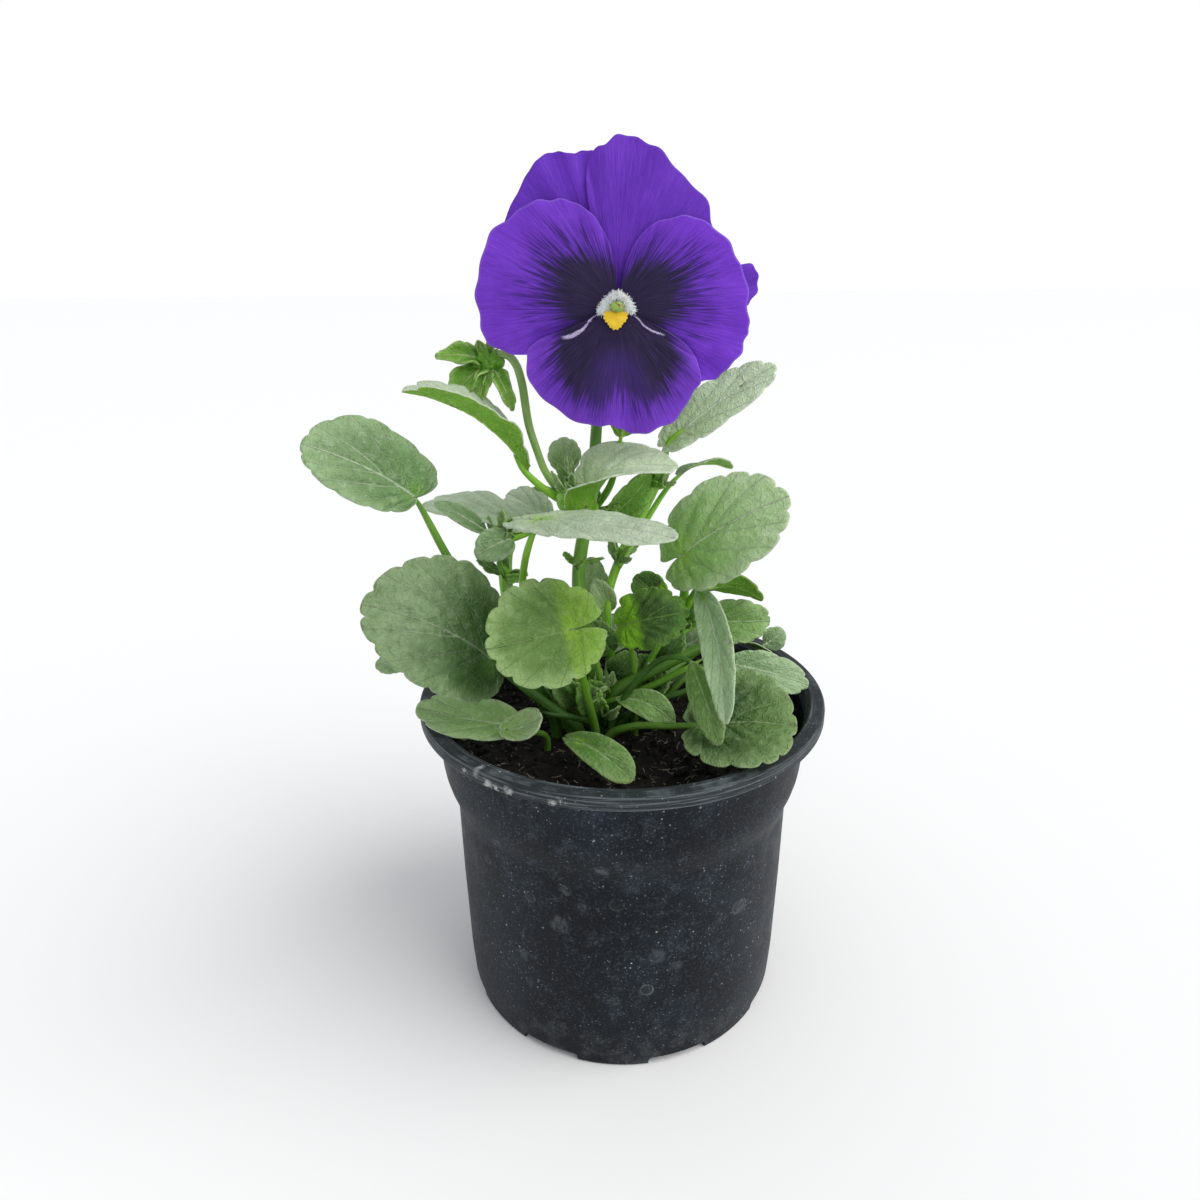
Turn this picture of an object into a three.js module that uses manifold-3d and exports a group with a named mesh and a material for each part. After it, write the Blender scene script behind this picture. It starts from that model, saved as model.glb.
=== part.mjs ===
// A potted pansy: one plant in flower, rooted in soil in a 12 cm nursery pot.
// Millimetres, +Z up, the viewer of the bloom stands at -Y. The origin is on the pot's axis,
// on the ground, under the flat disc in the middle of the pot's floor.
import * as THREE from "three";
import { mergeVertices } from "three/addons/utils/BufferGeometryUtils.js";
import Module from "manifold-3d";

const wasm = await Module();
wasm.setup();

// ---- Driving dimensions ----

const POT = {
  height: 98,
  rimRadius: 60,
  rimBand: 4, // height of the rolled rim
  mouthRadius: 55.9,
  baseRadius: 49.3,
  baseRound: 0.8, // radius of the rounded edge at the ground
  wall: 1.2,
  floor: 1.6,
  segments: 40,
};
// The pot's side outside, as [radius, height]: the wall, the shoulder, and the collar up to the rim.
const SIDE = {
  wall: [[50, 12], [50.6, 40], [50.8, 65]],
  shoulder: [[51.5, 68], [53.2, 72.5]],
  collar: [[54.4, 78], [55.4, 94]],
};
const CHANNEL = {
  count: 8,
  from: 16, // radius where the flat middle disc ends
  span: 21, // degrees of the wall's foot that each arch takes
  lift: 2.5, // how high the channel's roof stands over the ground
  firstAngle: -70.2, // degrees from +X, so that a foot faces the viewer
  holeRadius: 3.5,
  holeAt: 40, // from the pot's axis
  holeSides: 12,
};
const SOIL = { level: 88.5, edgeLevel: 87, roughness: 0.55, rings: 4, segments: 28 };
const FIT = 0.3; // clearance between pieces that touch
const ROOT = { depth: 12, straight: 4, clearance: 0.5, holeSides: 8 }; // how a stem stands in the soil

const BLADE = { thickness: 0.7, broad: 800, toothed: 500, plainStops: 4 }; // areas in square millimetres
const NECK = 0.07; // share of a leaf's outline where it leaves the stalk
const FIRST_NOTCH = 0.12; // share of the outline where the teeth begin
const STEM = { sides: 6, thinSides: 5, thin: 1.2, step: 12 }; // `step`: length from ring to ring

const BLOOM = {
  centre: [-1, -5, 206],
  thickness: 0.7,
  layerGap: 1, // from one layer of petals to the next, at the throat
  layerSpread: 0.03, // how much the gap grows for each millimetre outwards
  backward: 0.0045, // how the petals fall back towards their edges
  spokes: 24,
  rings: 4,
};

const GREEN = { sage: 0x8fae7c, leaf: 0x6f9a4f, bright: 0x86b83c, dark: 0x4c7440, stem: 0x7fae45 };

// ---- Solids ----

// A closed triangle mesh as a solid: corners merged, triangles that collapsed left out.
function solid(geometry) {
  const bare = new THREE.BufferGeometry();
  bare.setAttribute("position", geometry.getAttribute("position"));
  if (geometry.index) bare.setIndex(geometry.index);
  const merged = weld(bare);
  const vertProperties = merged.attributes.position.array;
  return new wasm.Manifold(new wasm.Mesh({ numProp: 3, vertProperties, triVerts: merged.index.array }));
}

function weld(geometry, tolerance = 2e-3) {
  const merged = mergeVertices(geometry, tolerance);
  const corners = merged.index.array;
  const kept = [];
  for (let i = 0; i < corners.length; i += 3) {
    const [a, b, c] = [corners[i], corners[i + 1], corners[i + 2]];
    if (a !== b && b !== c && c !== a) kept.push(a, b, c);
  }
  merged.setIndex(new THREE.BufferAttribute(new Uint32Array(kept), 1));
  return merged;
}

function join(solids) {
  return solids.reduce((all, next) => all.add(next));
}

function cut(body, tools) {
  return body.subtract(join(tools));
}

// A named mesh of a solid, in one plain colour.
function piece(name, body, color, roughness = 0.6) {
  const clean = body.simplify(0.03);
  const { vertProperties, triVerts } = clean.getMesh();
  const geometry = new THREE.BufferGeometry();
  geometry.setAttribute("position", new THREE.BufferAttribute(new Float32Array(vertProperties), 3));
  geometry.setIndex(new THREE.BufferAttribute(new Uint32Array(triVerts), 1));
  geometry.computeVertexNormals();
  const material = new THREE.MeshStandardMaterial({ color, roughness, metalness: 0 });
  const mesh = new THREE.Mesh(geometry, material);
  mesh.name = name;
  return mesh;
}

// A solid turned about the pot's axis from [radius, height] pairs that start and end on the axis.
function turned(profile, segments) {
  const points = profile.map(([radius, height]) => new THREE.Vector2(radius, height));
  const geometry = new THREE.LatheGeometry(points, segments);
  return solid(geometry.rotateX(Math.PI / 2));
}

// An open sheet given its thickness: a copy is set back from `facing`, or from the sheet's own
// normals where no direction is given, and the edges are walled.
function thicken(sheet, thickness, facing) {
  sheet.computeVertexNormals();
  const front = sheet.attributes.position;
  const count = front.count;
  const corners = Array.from(sheet.index.array);
  const positions = Array.from(front.array);
  for (let i = 0; i < count; i++) {
    const out = facing ?? new THREE.Vector3().fromBufferAttribute(sheet.attributes.normal, i);
    const back = new THREE.Vector3().fromBufferAttribute(front, i).addScaledVector(out, -thickness);
    positions.push(...back.toArray());
  }
  const directed = new Set();
  for (let i = 0; i < corners.length; i += 3) {
    for (let k = 0; k < 3; k++) directed.add(corners[i + k] + ">" + corners[i + ((k + 1) % 3)]);
  }
  const faces = corners.slice();
  for (let i = 0; i < corners.length; i += 3) {
    faces.push(corners[i + 2] + count, corners[i + 1] + count, corners[i] + count);
  }
  for (const edge of directed) {
    const [a, b] = edge.split(">").map(Number);
    if (!directed.has(b + ">" + a)) faces.push(b, a, a + count, b, a + count, b + count);
  }
  const closed = new THREE.BufferGeometry();
  closed.setAttribute("position", new THREE.Float32BufferAttribute(positions, 3));
  closed.setIndex(faces);
  return solid(closed);
}

// The triangles of a grid of points with `columns` + 1 points in each row.
function gridFaces(rows, columns, first, mirrored) {
  const faces = [];
  for (let i = 0; i < rows; i++) {
    for (let j = 0; j < columns; j++) {
      const a = first + i * (columns + 1) + j;
      const b = a + 1;
      const c = a + columns + 1;
      const d = c + 1;
      if (mirrored) faces.push(a, b, d, a, d, c);
      else faces.push(a, d, b, a, c, d);
    }
  }
  return faces;
}

function sheetFrom(positions, faces) {
  const sheet = new THREE.BufferGeometry();
  sheet.setAttribute("position", new THREE.Float32BufferAttribute(positions, 3));
  sheet.setIndex(faces);
  return weld(sheet);
}

// ---- Stems ----

// A stem along a smooth curve through the points, round, tapering from one radius to the other.
function stem(points, radius, endRadius = radius) {
  const sides = radius < STEM.thin ? STEM.thinSides : STEM.sides;
  const curve = new THREE.CatmullRomCurve3(points.map((p) => new THREE.Vector3(...p)), false, "centripetal");
  const steps = Math.max(3, Math.round(curve.getLength() / STEM.step));
  const frames = curve.computeFrenetFrames(steps, false);
  const positions = [];
  const faces = [];
  for (let i = 0; i <= steps; i++) {
    const t = i / steps;
    const centre = curve.getPointAt(t);
    const r = radius + (endRadius - radius) * t;
    for (let k = 0; k < sides; k++) {
      const angle = (2 * Math.PI * k) / sides;
      const p = centre.clone();
      p.addScaledVector(frames.normals[i], r * Math.cos(angle));
      p.addScaledVector(frames.binormals[i], r * Math.sin(angle));
      positions.push(...p.toArray());
    }
  }
  for (let i = 0; i < steps; i++) {
    for (let k = 0; k < sides; k++) {
      const a = i * sides + k;
      const b = i * sides + ((k + 1) % sides);
      faces.push(a, b, b + sides, a, b + sides, a + sides);
    }
  }
  const last = steps * sides;
  for (let k = 1; k < sides - 1; k++) {
    faces.push(0, k + 1, k);
    faces.push(last, last + k, last + k + 1);
  }
  const geometry = new THREE.BufferGeometry();
  geometry.setAttribute("position", new THREE.Float32BufferAttribute(positions, 3));
  geometry.setIndex(faces);
  return solid(geometry);
}

// ---- Leaves ----

// The leaf's own axes: x from the blade's base to its tip, z out of its upper face.
function leafAxes(leaf) {
  const base = new THREE.Vector3(...leaf.base);
  const along = new THREE.Vector3(...leaf.tip).sub(base);
  const length = along.length();
  along.normalize();
  const face = new THREE.Vector3(...leaf.faces);
  face.addScaledVector(along, -face.dot(along)).normalize();
  const across = new THREE.Vector3().crossVectors(face, along);
  return { base, along, across, face, length };
}

// Half of a pansy leaf's outline at u, which runs from 0 at the base round to 1 at the tip:
// an egg shape with `back` behind the base, cut into rounded teeth.
function outline(u, leaf, length, side) {
  const { width, widest = 0.42, lobes = 5, tooth = 0.1, taper = 1, shoulders = [1, 1], lean = 0 } = leaf;
  const back = (leaf.back ?? 0.1) * (1 + (leaf.skew ?? 0) * side);
  const angle = Math.PI * (1 - u);
  const c = Math.cos(angle);
  const s = Math.max(Math.sin(angle), 0);
  let x = (c > 0 ? widest + (1 - widest) * c : widest + (widest + back) * c) * length;
  let y = (width / 2) * Math.pow(s, c > 0 ? 1 : taper * shoulders[side > 0 ? 0 : 1]);
  const toothed = Math.max((u - FIRST_NOTCH) / (1 - FIRST_NOTCH), 0);
  const valley = 1 - Math.abs(Math.sin(Math.PI * (lobes - 0.5) * toothed));
  const bite = 1 - tooth * Math.min(u / 0.25, 1) * Math.pow(valley, 2.2);
  x = widest * length + (x - widest * length) * bite;
  y *= bite;
  const neck = back > 0 ? Math.min(u / NECK, 1) : 1; // the notch where the stalk joins
  return [x * neck, y * neck * (1 + lean * side)];
}

// A point of the blade's upper face: u along the outline, r from the midrib (0) to the edge (1).
function bladePoint(u, r, side, leaf, axes) {
  const { width, fold = 8, cup = [1, 0], arch = 0.05, funnel = 0, wave = 0.03, sweep = 0, phase = 0 } = leaf;
  const { length } = axes;
  const [edgeX, edgeY] = outline(u, leaf, length, side);
  const ribX = Math.max(0, 0.5 * outline(u, { ...leaf, skew: 0 }, length, side)[0]);
  const x = ribX + r * (edgeX - ribX);
  const y = r * edgeY;
  const bend = 4 * (x / length) * (1 - x / length);
  const reach = Math.hypot(x, y) / length;
  let z = arch * length * bend;
  z += funnel * length * (1 - Math.exp(-3 * reach) - (1 - Math.exp(-3)) * (Math.max(x, 0) / length));
  z += wave * (width / 2) * r * r * 4 * u * (1 - u) * Math.sin(5 * Math.PI * u + side * 1.3 + phase);
  const share = Math.min(Math.max(x / length, 0), 1);
  const more = side === cup[0] ? cup[1] * (1 - 0.4 * share) : 0; // one side may fold up further
  const tilt = THREE.MathUtils.degToRad(fold + more);
  const across = side * y * Math.cos(tilt) + (x > 0 ? sweep * length * bend : 0);
  const up = z / Math.cos(THREE.MathUtils.degToRad(fold)) + y * Math.sin(tilt);
  return axes.base
    .clone()
    .addScaledVector(axes.along, x)
    .addScaledVector(axes.across, across)
    .addScaledVector(axes.face, up);
}

// Where along the outline the edge has a corner: `perTooth` of them from one notch to the next.
function edgeStops({ lobes = 5, tooth = 0.1 }, perTooth) {
  const teeth = lobes - 0.5;
  const count = tooth > 0 && lobes > 2 ? perTooth * teeth : BLADE.plainStops;
  const stops = [0, NECK];
  for (let n = 0; n < count; n++) stops.push(FIRST_NOTCH + (1 - FIRST_NOTCH) * (n / count));
  return [...stops, 1];
}

function blade(leaf) {
  const axes = leafAxes(leaf);
  const area = axes.length * leaf.width;
  const columns = area > BLADE.broad ? 2 : 1;
  const stops = edgeStops(leaf, area > BLADE.toothed ? 3 : 2);
  const positions = [];
  const faces = [];
  for (const side of [1, -1]) {
    faces.push(...gridFaces(stops.length - 1, columns, positions.length / 3, side < 0));
    for (const u of stops) {
      for (let j = 0; j <= columns; j++) {
        positions.push(...bladePoint(u, j / columns, side, leaf, axes).toArray());
      }
    }
  }
  return thicken(sheetFrom(positions, faces), BLADE.thickness);
}

// A blade with its stalk: the stalk runs through `from`, a list of points, and ends under the blade.
function leafWithStalk(leaf) {
  const axes = leafAxes(leaf);
  const radius = leaf.stalk ?? 1;
  const tipRadius = radius * 0.6;
  const sunk = BLADE.thickness / 2 + tipRadius * 0.55;
  const path = leaf.from.slice();
  for (const u of [0, 0.42]) {
    path.push(bladePoint(u, 0, 1, leaf, axes).addScaledVector(axes.face, -sunk).toArray());
  }
  return join([blade(leaf), stem(path, radius * 1.15, tipRadius)]);
}

// The part of a stem that stands in the soil, straight down from where it comes out.
function rooted([x, y]) {
  return [
    [x, y, SOIL.level - ROOT.depth],
    [x, y, SOIL.level - ROOT.straight],
    [x, y, SOIL.level + ROOT.straight],
  ];
}

// Leaves that grow from the crown on their own stalks. `root` is where the stalk leaves the soil.
const BASAL_LEAVES = {
  high_left: {
    root: [-19, -14], via: [[-30, -15, 116], [-45, -16, 141]], stalk: 1.6, color: GREEN.sage,
    base: [-53.2, -18, 160.6], tip: [-76.5, -30, 176.6], width: 21.8, faces: [0.12, -1, 0.7],
    back: 0.12, lobes: 6, arch: 0.08, fold: 6, sweep: -0.02, widest: 0.5, shoulders: [1.1, 0.4],
    lean: -0.11, skew: -0.6, tooth: 0.05,
  },
  low_left: {
    root: [-12, -18], via: [[-21, -22, 103]], stalk: 1.7, color: GREEN.leaf,
    base: [-34, -28, 119], tip: [-61.8, -44, 140.8], width: 35, faces: [0.1, -1, 0.9],
    back: 0.2, lobes: 7, tooth: 0.065, arch: 0.1, fold: 4, sweep: -0.03, lean: -0.08,
  },
  front_round: {
    root: [-7, -21], via: [[-9, -25, 106]], stalk: 1.3, color: GREEN.bright,
    base: [-13, -34, 130], tip: [-32, -46, 130], width: 28, faces: [0.1, -1, 0.5],
    back: 0.5, widest: 0.3, lobes: 6, arch: 0, fold: 0, tooth: 0.11, lean: -0.05,
  },
  front_flat: {
    root: [-15, -13], via: [[-22, -17, 115], [-26, -20, 138]], stalk: 1.3, color: GREEN.sage,
    base: [-20, -26, 156.8], tip: [12.6, -44, 157], width: 21, faces: [-0.1, 0, 1],
    back: 0.3, lobes: 4, arch: 0.03, fold: -3, tooth: 0.03,
  },
  dark_right: {
    root: [4, -13], via: [[4, -12, 106]], stalk: 1, color: GREEN.dark,
    base: [2, -15, 124], tip: [18, -21, 130], width: 17, faces: [-0.1, -1, 0.5],
    back: 0.15, lobes: 6, tooth: 0.14, arch: 0.1, wave: 0.08,
  },
  hanging_dark: {
    root: [-3, -17], via: [[3, -18, 106], [12, -20, 116]], stalk: 1, color: GREEN.dark,
    base: [18.6, -25, 117], tip: [25, -42.5, 102], width: 8.5, faces: [-0.3, -1, 0.1],
    back: 0, lobes: 3, tooth: 0.03, taper: 1.2, widest: 0.5, sweep: 0,
  },
  low_right: {
    root: [-3.5, -22], via: [[3, -25, 97.5], [14, -29, 100]], stalk: 1.3, color: GREEN.leaf,
    base: [22.7, -32, 102.4], tip: [45.6, -36, 104.2], width: 33.5, faces: [0, -0.4, 1],
    back: 0.32, lobes: 6, arch: 0.05,
  },
  rim_right: {
    root: [10, -11], via: [[18, -9, 104]], stalk: 1, color: GREEN.leaf,
    base: [30, -4, 107], tip: [56, -2, 99], width: 12, faces: [0, -1, 0.8],
    back: 0, lobes: 4, arch: 0.1, taper: 1.2,
  },
  rim_far_right: {
    root: [36, 17], via: [[43, 22, 97]], stalk: 0.7, color: GREEN.sage,
    base: [47, 25, 100], tip: [54, 28, 104], width: 8, faces: [0, -1, 0.4],
    back: 0, lobes: 2, arch: 0.08, taper: 1.2,
  },
  soil_front: {
    root: [-11, -27], via: [[-12, -31, 96]], stalk: 0.9, color: GREEN.leaf,
    base: [-11, -34, 98], tip: [3, -46, 93.6], width: 10, faces: [0, -0.6, 1],
    back: 0.4, widest: 0.62, shoulders: [1.5, 1.5], lobes: 3, tooth: 0.03, arch: 0.1, fold: 14,
  },
  rim_left: {
    root: [-21, -22], via: [[-25, -27, 97]], stalk: 1, color: GREEN.leaf,
    base: [-29, -30, 100.6], tip: [-56, -26, 103.6], width: 14, faces: [0, -0.7, 1],
    back: 0.1, lobes: 3, arch: -0.03, fold: 14,
  },
  rim_far_left: {
    root: [-24, -4], via: [[-33, -4, 103], [-50, -5, 110]], stalk: 0.9, color: GREEN.sage,
    base: [-63, -5, 108], tip: [-73, -4, 106], width: 7, faces: [0, -1, 0.7],
    back: 0, lobes: 3, taper: 1.2,
  },
  back_left: {
    root: [-13, -1], via: [[-16, 8, 102]], stalk: 1.1, color: GREEN.leaf,
    base: [-19, 17, 104], tip: [-30, 40, 101], width: 24, faces: [0, 0.3, 1],
    back: 0.25, lobes: 6, arch: 0.08,
  },
  back_middle: {
    root: [-5, 0], via: [[-4, 10, 101]], stalk: 1.1, color: GREEN.leaf,
    base: [-3, 20, 104], tip: [2, 46, 101], width: 25, faces: [0.1, 0.3, 1],
    back: 0.25, lobes: 6, arch: 0.08, phase: 1,
  },
  back_right: {
    root: [4, 0], via: [[12, 9, 100]], stalk: 1.1, color: GREEN.leaf,
    base: [19, 17, 102], tip: [36, 34, 100], width: 22, faces: [0.2, 0.3, 1],
    back: 0.25, lobes: 5, arch: 0.08, phase: 2,
  },
  back_rim: {
    root: [-19, -3], via: [[-28, 5, 99]], stalk: 1, color: GREEN.leaf,
    base: [-36, 11, 102], tip: [-55, 24, 102], width: 18, faces: [-0.3, 0.2, 1],
    back: 0.25, lobes: 5, arch: 0.08, phase: 3,
  },
};

// Leafy shoots. Each one's leaves start at a point of its stem.
const SHOOTS = {
  main_shoot: {
    root: [-7, -11], radius: 2.4, endRadius: 1.2, color: GREEN.stem,
    via: [
      [-9, -9, 112], [-12, -6, 131], [-11, -2, 143], [-9, 2, 150], [-8, 6, 160], [-7, 9, 173],
      [-6, 11, 190], [-4, 9, 203], [-2, 4, 207], [-1, 0, 206],
    ],
    leaves: [
      {
        from: [[-9, 3, 151], [-18, 0, 156]], stalk: 1.3,
        base: [-25, -4, 164], tip: [-54, -18, 187.4], width: 17, faces: [0.7, 0.35, 0.8],
        back: 0, lobes: 5, arch: 0.09, fold: 38, taper: 1.5, widest: 0.35, lean: -0.22,
      },
      {
        from: [[-9, 2, 149], [-8.5, -2, 149.5]], stalk: 1.2,
        base: [-7.5, -4, 151], tip: [15.5, -4, 165.5], width: 27, faces: [-0.1, -0.1, 1],
        back: 0.2, lobes: 5, funnel: 0.74, arch: 0.06, fold: 11, cup: [-1, -8], tooth: 0.06,
        widest: 0.6, shoulders: [1.9, 1],
      },
      {
        from: [[-9, 4, 153], [-14, 9, 157]], stalk: 0.9,
        base: [-16, 12, 161], tip: [-17, 16, 170], width: 10, faces: [0, -1, 0.3],
        back: 0.05, lobes: 4,
      },
      {
        from: [[-9, -9, 106], [-7, -2, 111]], stalk: 0.9,
        base: [-6, 4, 117], tip: [-9, 8, 136], width: 12, faces: [-0.4, -1, 0.2],
        back: 0, lobes: 2, taper: 1.5,
      },
      {
        from: [[-9, 3, 150], [-3, 7, 158]], stalk: 1,
        base: [0, 8, 171], tip: [3, 12, 186], width: 10, faces: [0.2, 1, 0.2],
        back: 0, lobes: 3, taper: 1.5,
      },
      {
        from: [[-8, -11, 98], [-3, -14, 101]], stalk: 0.8,
        base: [2, -16, 101], tip: [15, -22, 97], width: 8, faces: [0, -1, 0.5],
        back: 0, lobes: 1, tooth: 0, arch: 0.15, taper: 1.3, widest: 0.6, sweep: 0.1,
      },
    ],
  },
  left_shoot: {
    root: [-16, -8], radius: 2.2, endRadius: 1.9, color: GREEN.stem,
    via: [[-23, -8, 108], [-32, -6, 128], [-33, 0, 142], [-33, 3, 147]],
    leaves: [
      {
        from: [[-33, 1, 143], [-30, 5, 144]], stalk: 1,
        base: [-28, 8, 145], tip: [-60, 14, 150], width: 20, faces: [0, -0.15, 1],
        back: 0.05, lobes: 4, arch: 0.08,
      },
      {
        from: [[-33, 1, 143], [-26, 8, 144]], stalk: 1,
        base: [-22, 14, 146], tip: [-35, 24, 151.6], width: 12, faces: [0.1, -1, 1],
        back: 0.05, lobes: 4, arch: 0.08,
      },
      {
        from: [[-33, -1, 140], [-32, -2, 143]], stalk: 0.8,
        base: [-31, -3, 145], tip: [-40, -10, 142], width: 10, faces: [0.1, -1, 0.6],
        back: 0.05, lobes: 3, arch: 0.1,
      },
      {
        from: [[-33, 0, 141], [-36, 0, 144]], stalk: 0.8,
        base: [-38, 0, 146], tip: [-51, -6, 156], width: 6, faces: [0.1, -1, 1.2],
        back: 0, lobes: 2, tooth: 0.02, taper: 1.2,
      },
    ],
  },
  right_shoot: {
    root: [-1, -7], radius: 1.5, endRadius: 1.2, color: GREEN.stem,
    via: [[-3, -3, 108], [-4, 0, 125], [0, 3, 138], [9, 6, 156], [12, 7, 165]],
    leaves: [
      {
        from: [[10, 6, 158], [12, 7, 164]], stalk: 1.1,
        base: [13, 6, 170], tip: [43, 14, 190], width: 14, faces: [-0.4, -1, 0.7],
        back: 0.1, lobes: 5, arch: 0.02, widest: 0.5, sweep: 0.02,
      },
      {
        from: [[-1, 2, 135], [7, 7, 147], [13, 9, 156]], stalk: 1,
        base: [16, 10, 160], tip: [33, 20, 160], width: 12, faces: [-0.1, 0.3, 1],
        back: 0, lobes: 3, arch: 0.12, taper: 1.5,
      },
    ],
  },
  low_right_shoot: {
    root: [5, -6], radius: 1.6, endRadius: 1.4, color: GREEN.stem,
    via: [[9, -6, 101], [15, -4, 115], [19, -3, 124]],
    leaves: [
      {
        from: [[17, -4, 119], [18, -5, 130]], stalk: 1.3,
        base: [17, -10, 143], tip: [42.8, -18, 160.6], width: 29, faces: [-0.1, -1, 0.9],
        back: 0.3, lobes: 6, arch: 0.08, widest: 0.4, tooth: 0.06, lean: -0.06,
      },
      {
        from: [[18, -3, 121], [20, -7, 129]], stalk: 0.9,
        base: [21, -14, 134], tip: [26, -45, 109.4], width: 9.6, faces: [-0.5, -1, 0.2],
        back: 0, lobes: 3, tooth: 0.03, arch: 0.1, fold: 20, taper: 1.1, widest: 0.5, sweep: 0.1,
        lean: 0.1,
      },
      {
        from: [[16, -4, 117], [19, -1, 123]], stalk: 1,
        base: [21, 2, 126], tip: [42, 4, 124], width: 14, faces: [0.1, 0.9, 1],
        back: 0, lobes: 3, arch: 0.18, taper: 1.3,
      },
      {
        from: [[12, -5, 109], [18, 1, 114]], stalk: 1,
        base: [24, 4, 117], tip: [46, 12, 114], width: 14, faces: [0, -1, 0.3],
        back: 0.1, lobes: 5,
      },
      {
        from: [[14, -4, 113], [14, 1, 120]], stalk: 0.9,
        base: [12, 4, 124], tip: [4, 8, 130], width: 10, faces: [-0.1, -1, 0.5],
        back: 0.1, lobes: 4, arch: 0.1,
      },
      {
        from: [[8, -6, 99], [19, 3, 104]], stalk: 0.9,
        base: [31, 12, 108], tip: [50, 18, 98], width: 9, faces: [0.1, 0.3, 1],
        back: 0, lobes: 3, arch: 0.08, taper: 1.2,
      },
    ],
  },
};

// The leaf at the left of the rim has a second, smaller lobe folded up beside its stalk.
const FOLDED_LOBE = {
  from: [[-26, -28, 98], [-29, -31, 99]], stalk: 0.9,
  base: [-31, -34, 101.4], tip: [-20.5, -38, 107.2], width: 9, faces: [-0.1, -0.8, 1],
  back: 0.1, widest: 0.58, lobes: 4, tooth: 0.05, arch: -0.12, fold: 16, taper: 1.1,
};

function shootSolid(shoot) {
  const parts = [stem([...rooted(shoot.root), ...shoot.via], shoot.radius, shoot.endRadius)];
  for (const leaf of shoot.leaves) parts.push(leafWithStalk(leaf));
  return parts;
}

// ---- The bloom ----

// A point given across, up and towards the viewer from the bloom's centre, in the part's frame.
function inBloom(across, up, front) {
  const [x, y, z] = BLOOM.centre;
  return [x + across, y - front, z + up];
}

// Petal outlines seen from the front, from the claw round and back to it, as [across, up].
const PETALS = {
  petal_upper_left: {
    layer: 0, ruffle: 0.4, phase: 0.4,
    outline: [[0, 1], [3, 13], [2, 24], [-1, 32], [-4, 35.4], [-8, 36], [-11.6, 35.4], [-15.4, 36],
      [-19.6, 34.2], [-23.3, 29.4], [-27.6, 21.6], [-28.8, 14], [-24, 7], [-12, 3], [0, 1]],
  },
  petal_upper_right: {
    layer: 1, ruffle: 0.4, phase: 2,
    outline: [[0, 1], [-3.6, 10], [-6.4, 20], [-7.4, 29], [-7, 34], [-4.4, 36.6], [0, 39], [5.4, 38.6],
      [10.8, 35.2], [16.6, 29.8], [22.3, 23.6], [24.4, 16.5], [29.2, 10.4], [33.4, 9.9], [35.9, 7],
      [35.2, 3], [33, 0], [28, -2], [14, -2.5], [0, 1]],
  },
  petal_left: {
    layer: 2, ruffle: 0.5, phase: 1,
    outline: [[-0.6, 0.5], [-0.2, 6], [-1.3, 12.5], [-3.5, 18], [-8, 23], [-15, 25], [-22.4, 23.6],
      [-31.4, 17.4], [-35.6, 6], [-35.1, -5], [-30.4, -10.4], [-20, -11], [-9, -6], [-0.6, 0.5]],
  },
  petal_right: {
    layer: 2, ruffle: 0.5, phase: 2.2,
    outline: [[0.6, 0.5], [1.2, 6], [3.2, 12.5], [7, 17.8], [13, 20.5], [21.2, 20], [28.3, 13.7], [32.3, 6],
      [33.4, -3], [33.2, -8], [29.9, -14], [25.2, -17.8], [19, -17.4], [9, -8], [0.6, 0.5]],
  },
  petal_lower: {
    layer: 3, ruffle: 0.6, phase: 0,
    outline: [[0, 0], [-5, -1.5], [-10, -4.5], [-18, -6.8], [-23.2, -11], [-22.4, -18.2], [-16, -25.2],
      [-7, -29.5], [-1, -29.3], [2.5, -31.3], [8, -31.3], [14.7, -28.3], [19.2, -22.3], [21.4, -16.5],
      [18.6, -10.2], [12, -5.5], [5, -2], [0, 0]],
  },
};

// How far a petal's front face stands out of the bloom's plane at a place on it.
function petalFront(across, up, edge, s, { layer, ruffle, phase }) {
  const reach = Math.hypot(across, up);
  const stacked = layer * (BLOOM.layerGap + BLOOM.layerSpread * reach);
  const wave = ruffle * edge * (reach / 30) ** 2 * Math.sin(14 * Math.PI * s + phase);
  return stacked - BLOOM.backward * reach * reach + wave;
}

function petalSolid(petal) {
  const spline = new THREE.SplineCurve(petal.outline.map(([x, y]) => new THREE.Vector2(x, y)));
  const [clawX, clawY] = petal.outline[0];
  const positions = [];
  for (let i = 0; i <= BLOOM.spokes; i++) {
    const s = i / BLOOM.spokes;
    const edge = spline.getPoint(s);
    for (let j = 0; j <= BLOOM.rings; j++) {
      const r = j / BLOOM.rings;
      const across = clawX + r * (edge.x - clawX);
      const up = clawY + r * (edge.y - clawY);
      positions.push(...inBloom(across, up, petalFront(across, up, r, s, petal)));
    }
  }
  const counterclockwise = THREE.ShapeUtils.area(spline.points) > 0;
  const faces = gridFaces(BLOOM.spokes, BLOOM.rings, 0, counterclockwise);
  return thicken(sheetFrom(positions, faces), BLOOM.thickness, new THREE.Vector3(0, -1, 0));
}

// A sepal is a plain pointed blade with no stalk.
const SEPAL = { back: 0, lobes: 1, tooth: 0, taper: 0.8, wave: 0 };

// The receptacle behind the petals, with five sepals and the spur.
function calyx() {
  const parts = [];
  const cup = new THREE.SphereGeometry(2.6, 8, 6).scale(1, 0.9, 1);
  parts.push(solid(cup.translate(...inBloom(0, 0, -3.3))));
  for (let k = 0; k < 5; k++) {
    const angle = THREE.MathUtils.degToRad(90 + 72 * k);
    const [c, s] = [Math.cos(angle), Math.sin(angle)];
    const [base, tip] = [inBloom(1.2 * c, 1.2 * s, -2.2), inBloom(13 * c, 13 * s, -3.2)];
    parts.push(blade({ ...SEPAL, base, tip, width: 5, faces: [0, -1, 0] }));
  }
  parts.push(stem([inBloom(0, -1, -3), inBloom(0.5, -2.5, -7), inBloom(1, -1.5, -11)], 1.5, 0.9));
  return parts;
}

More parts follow.
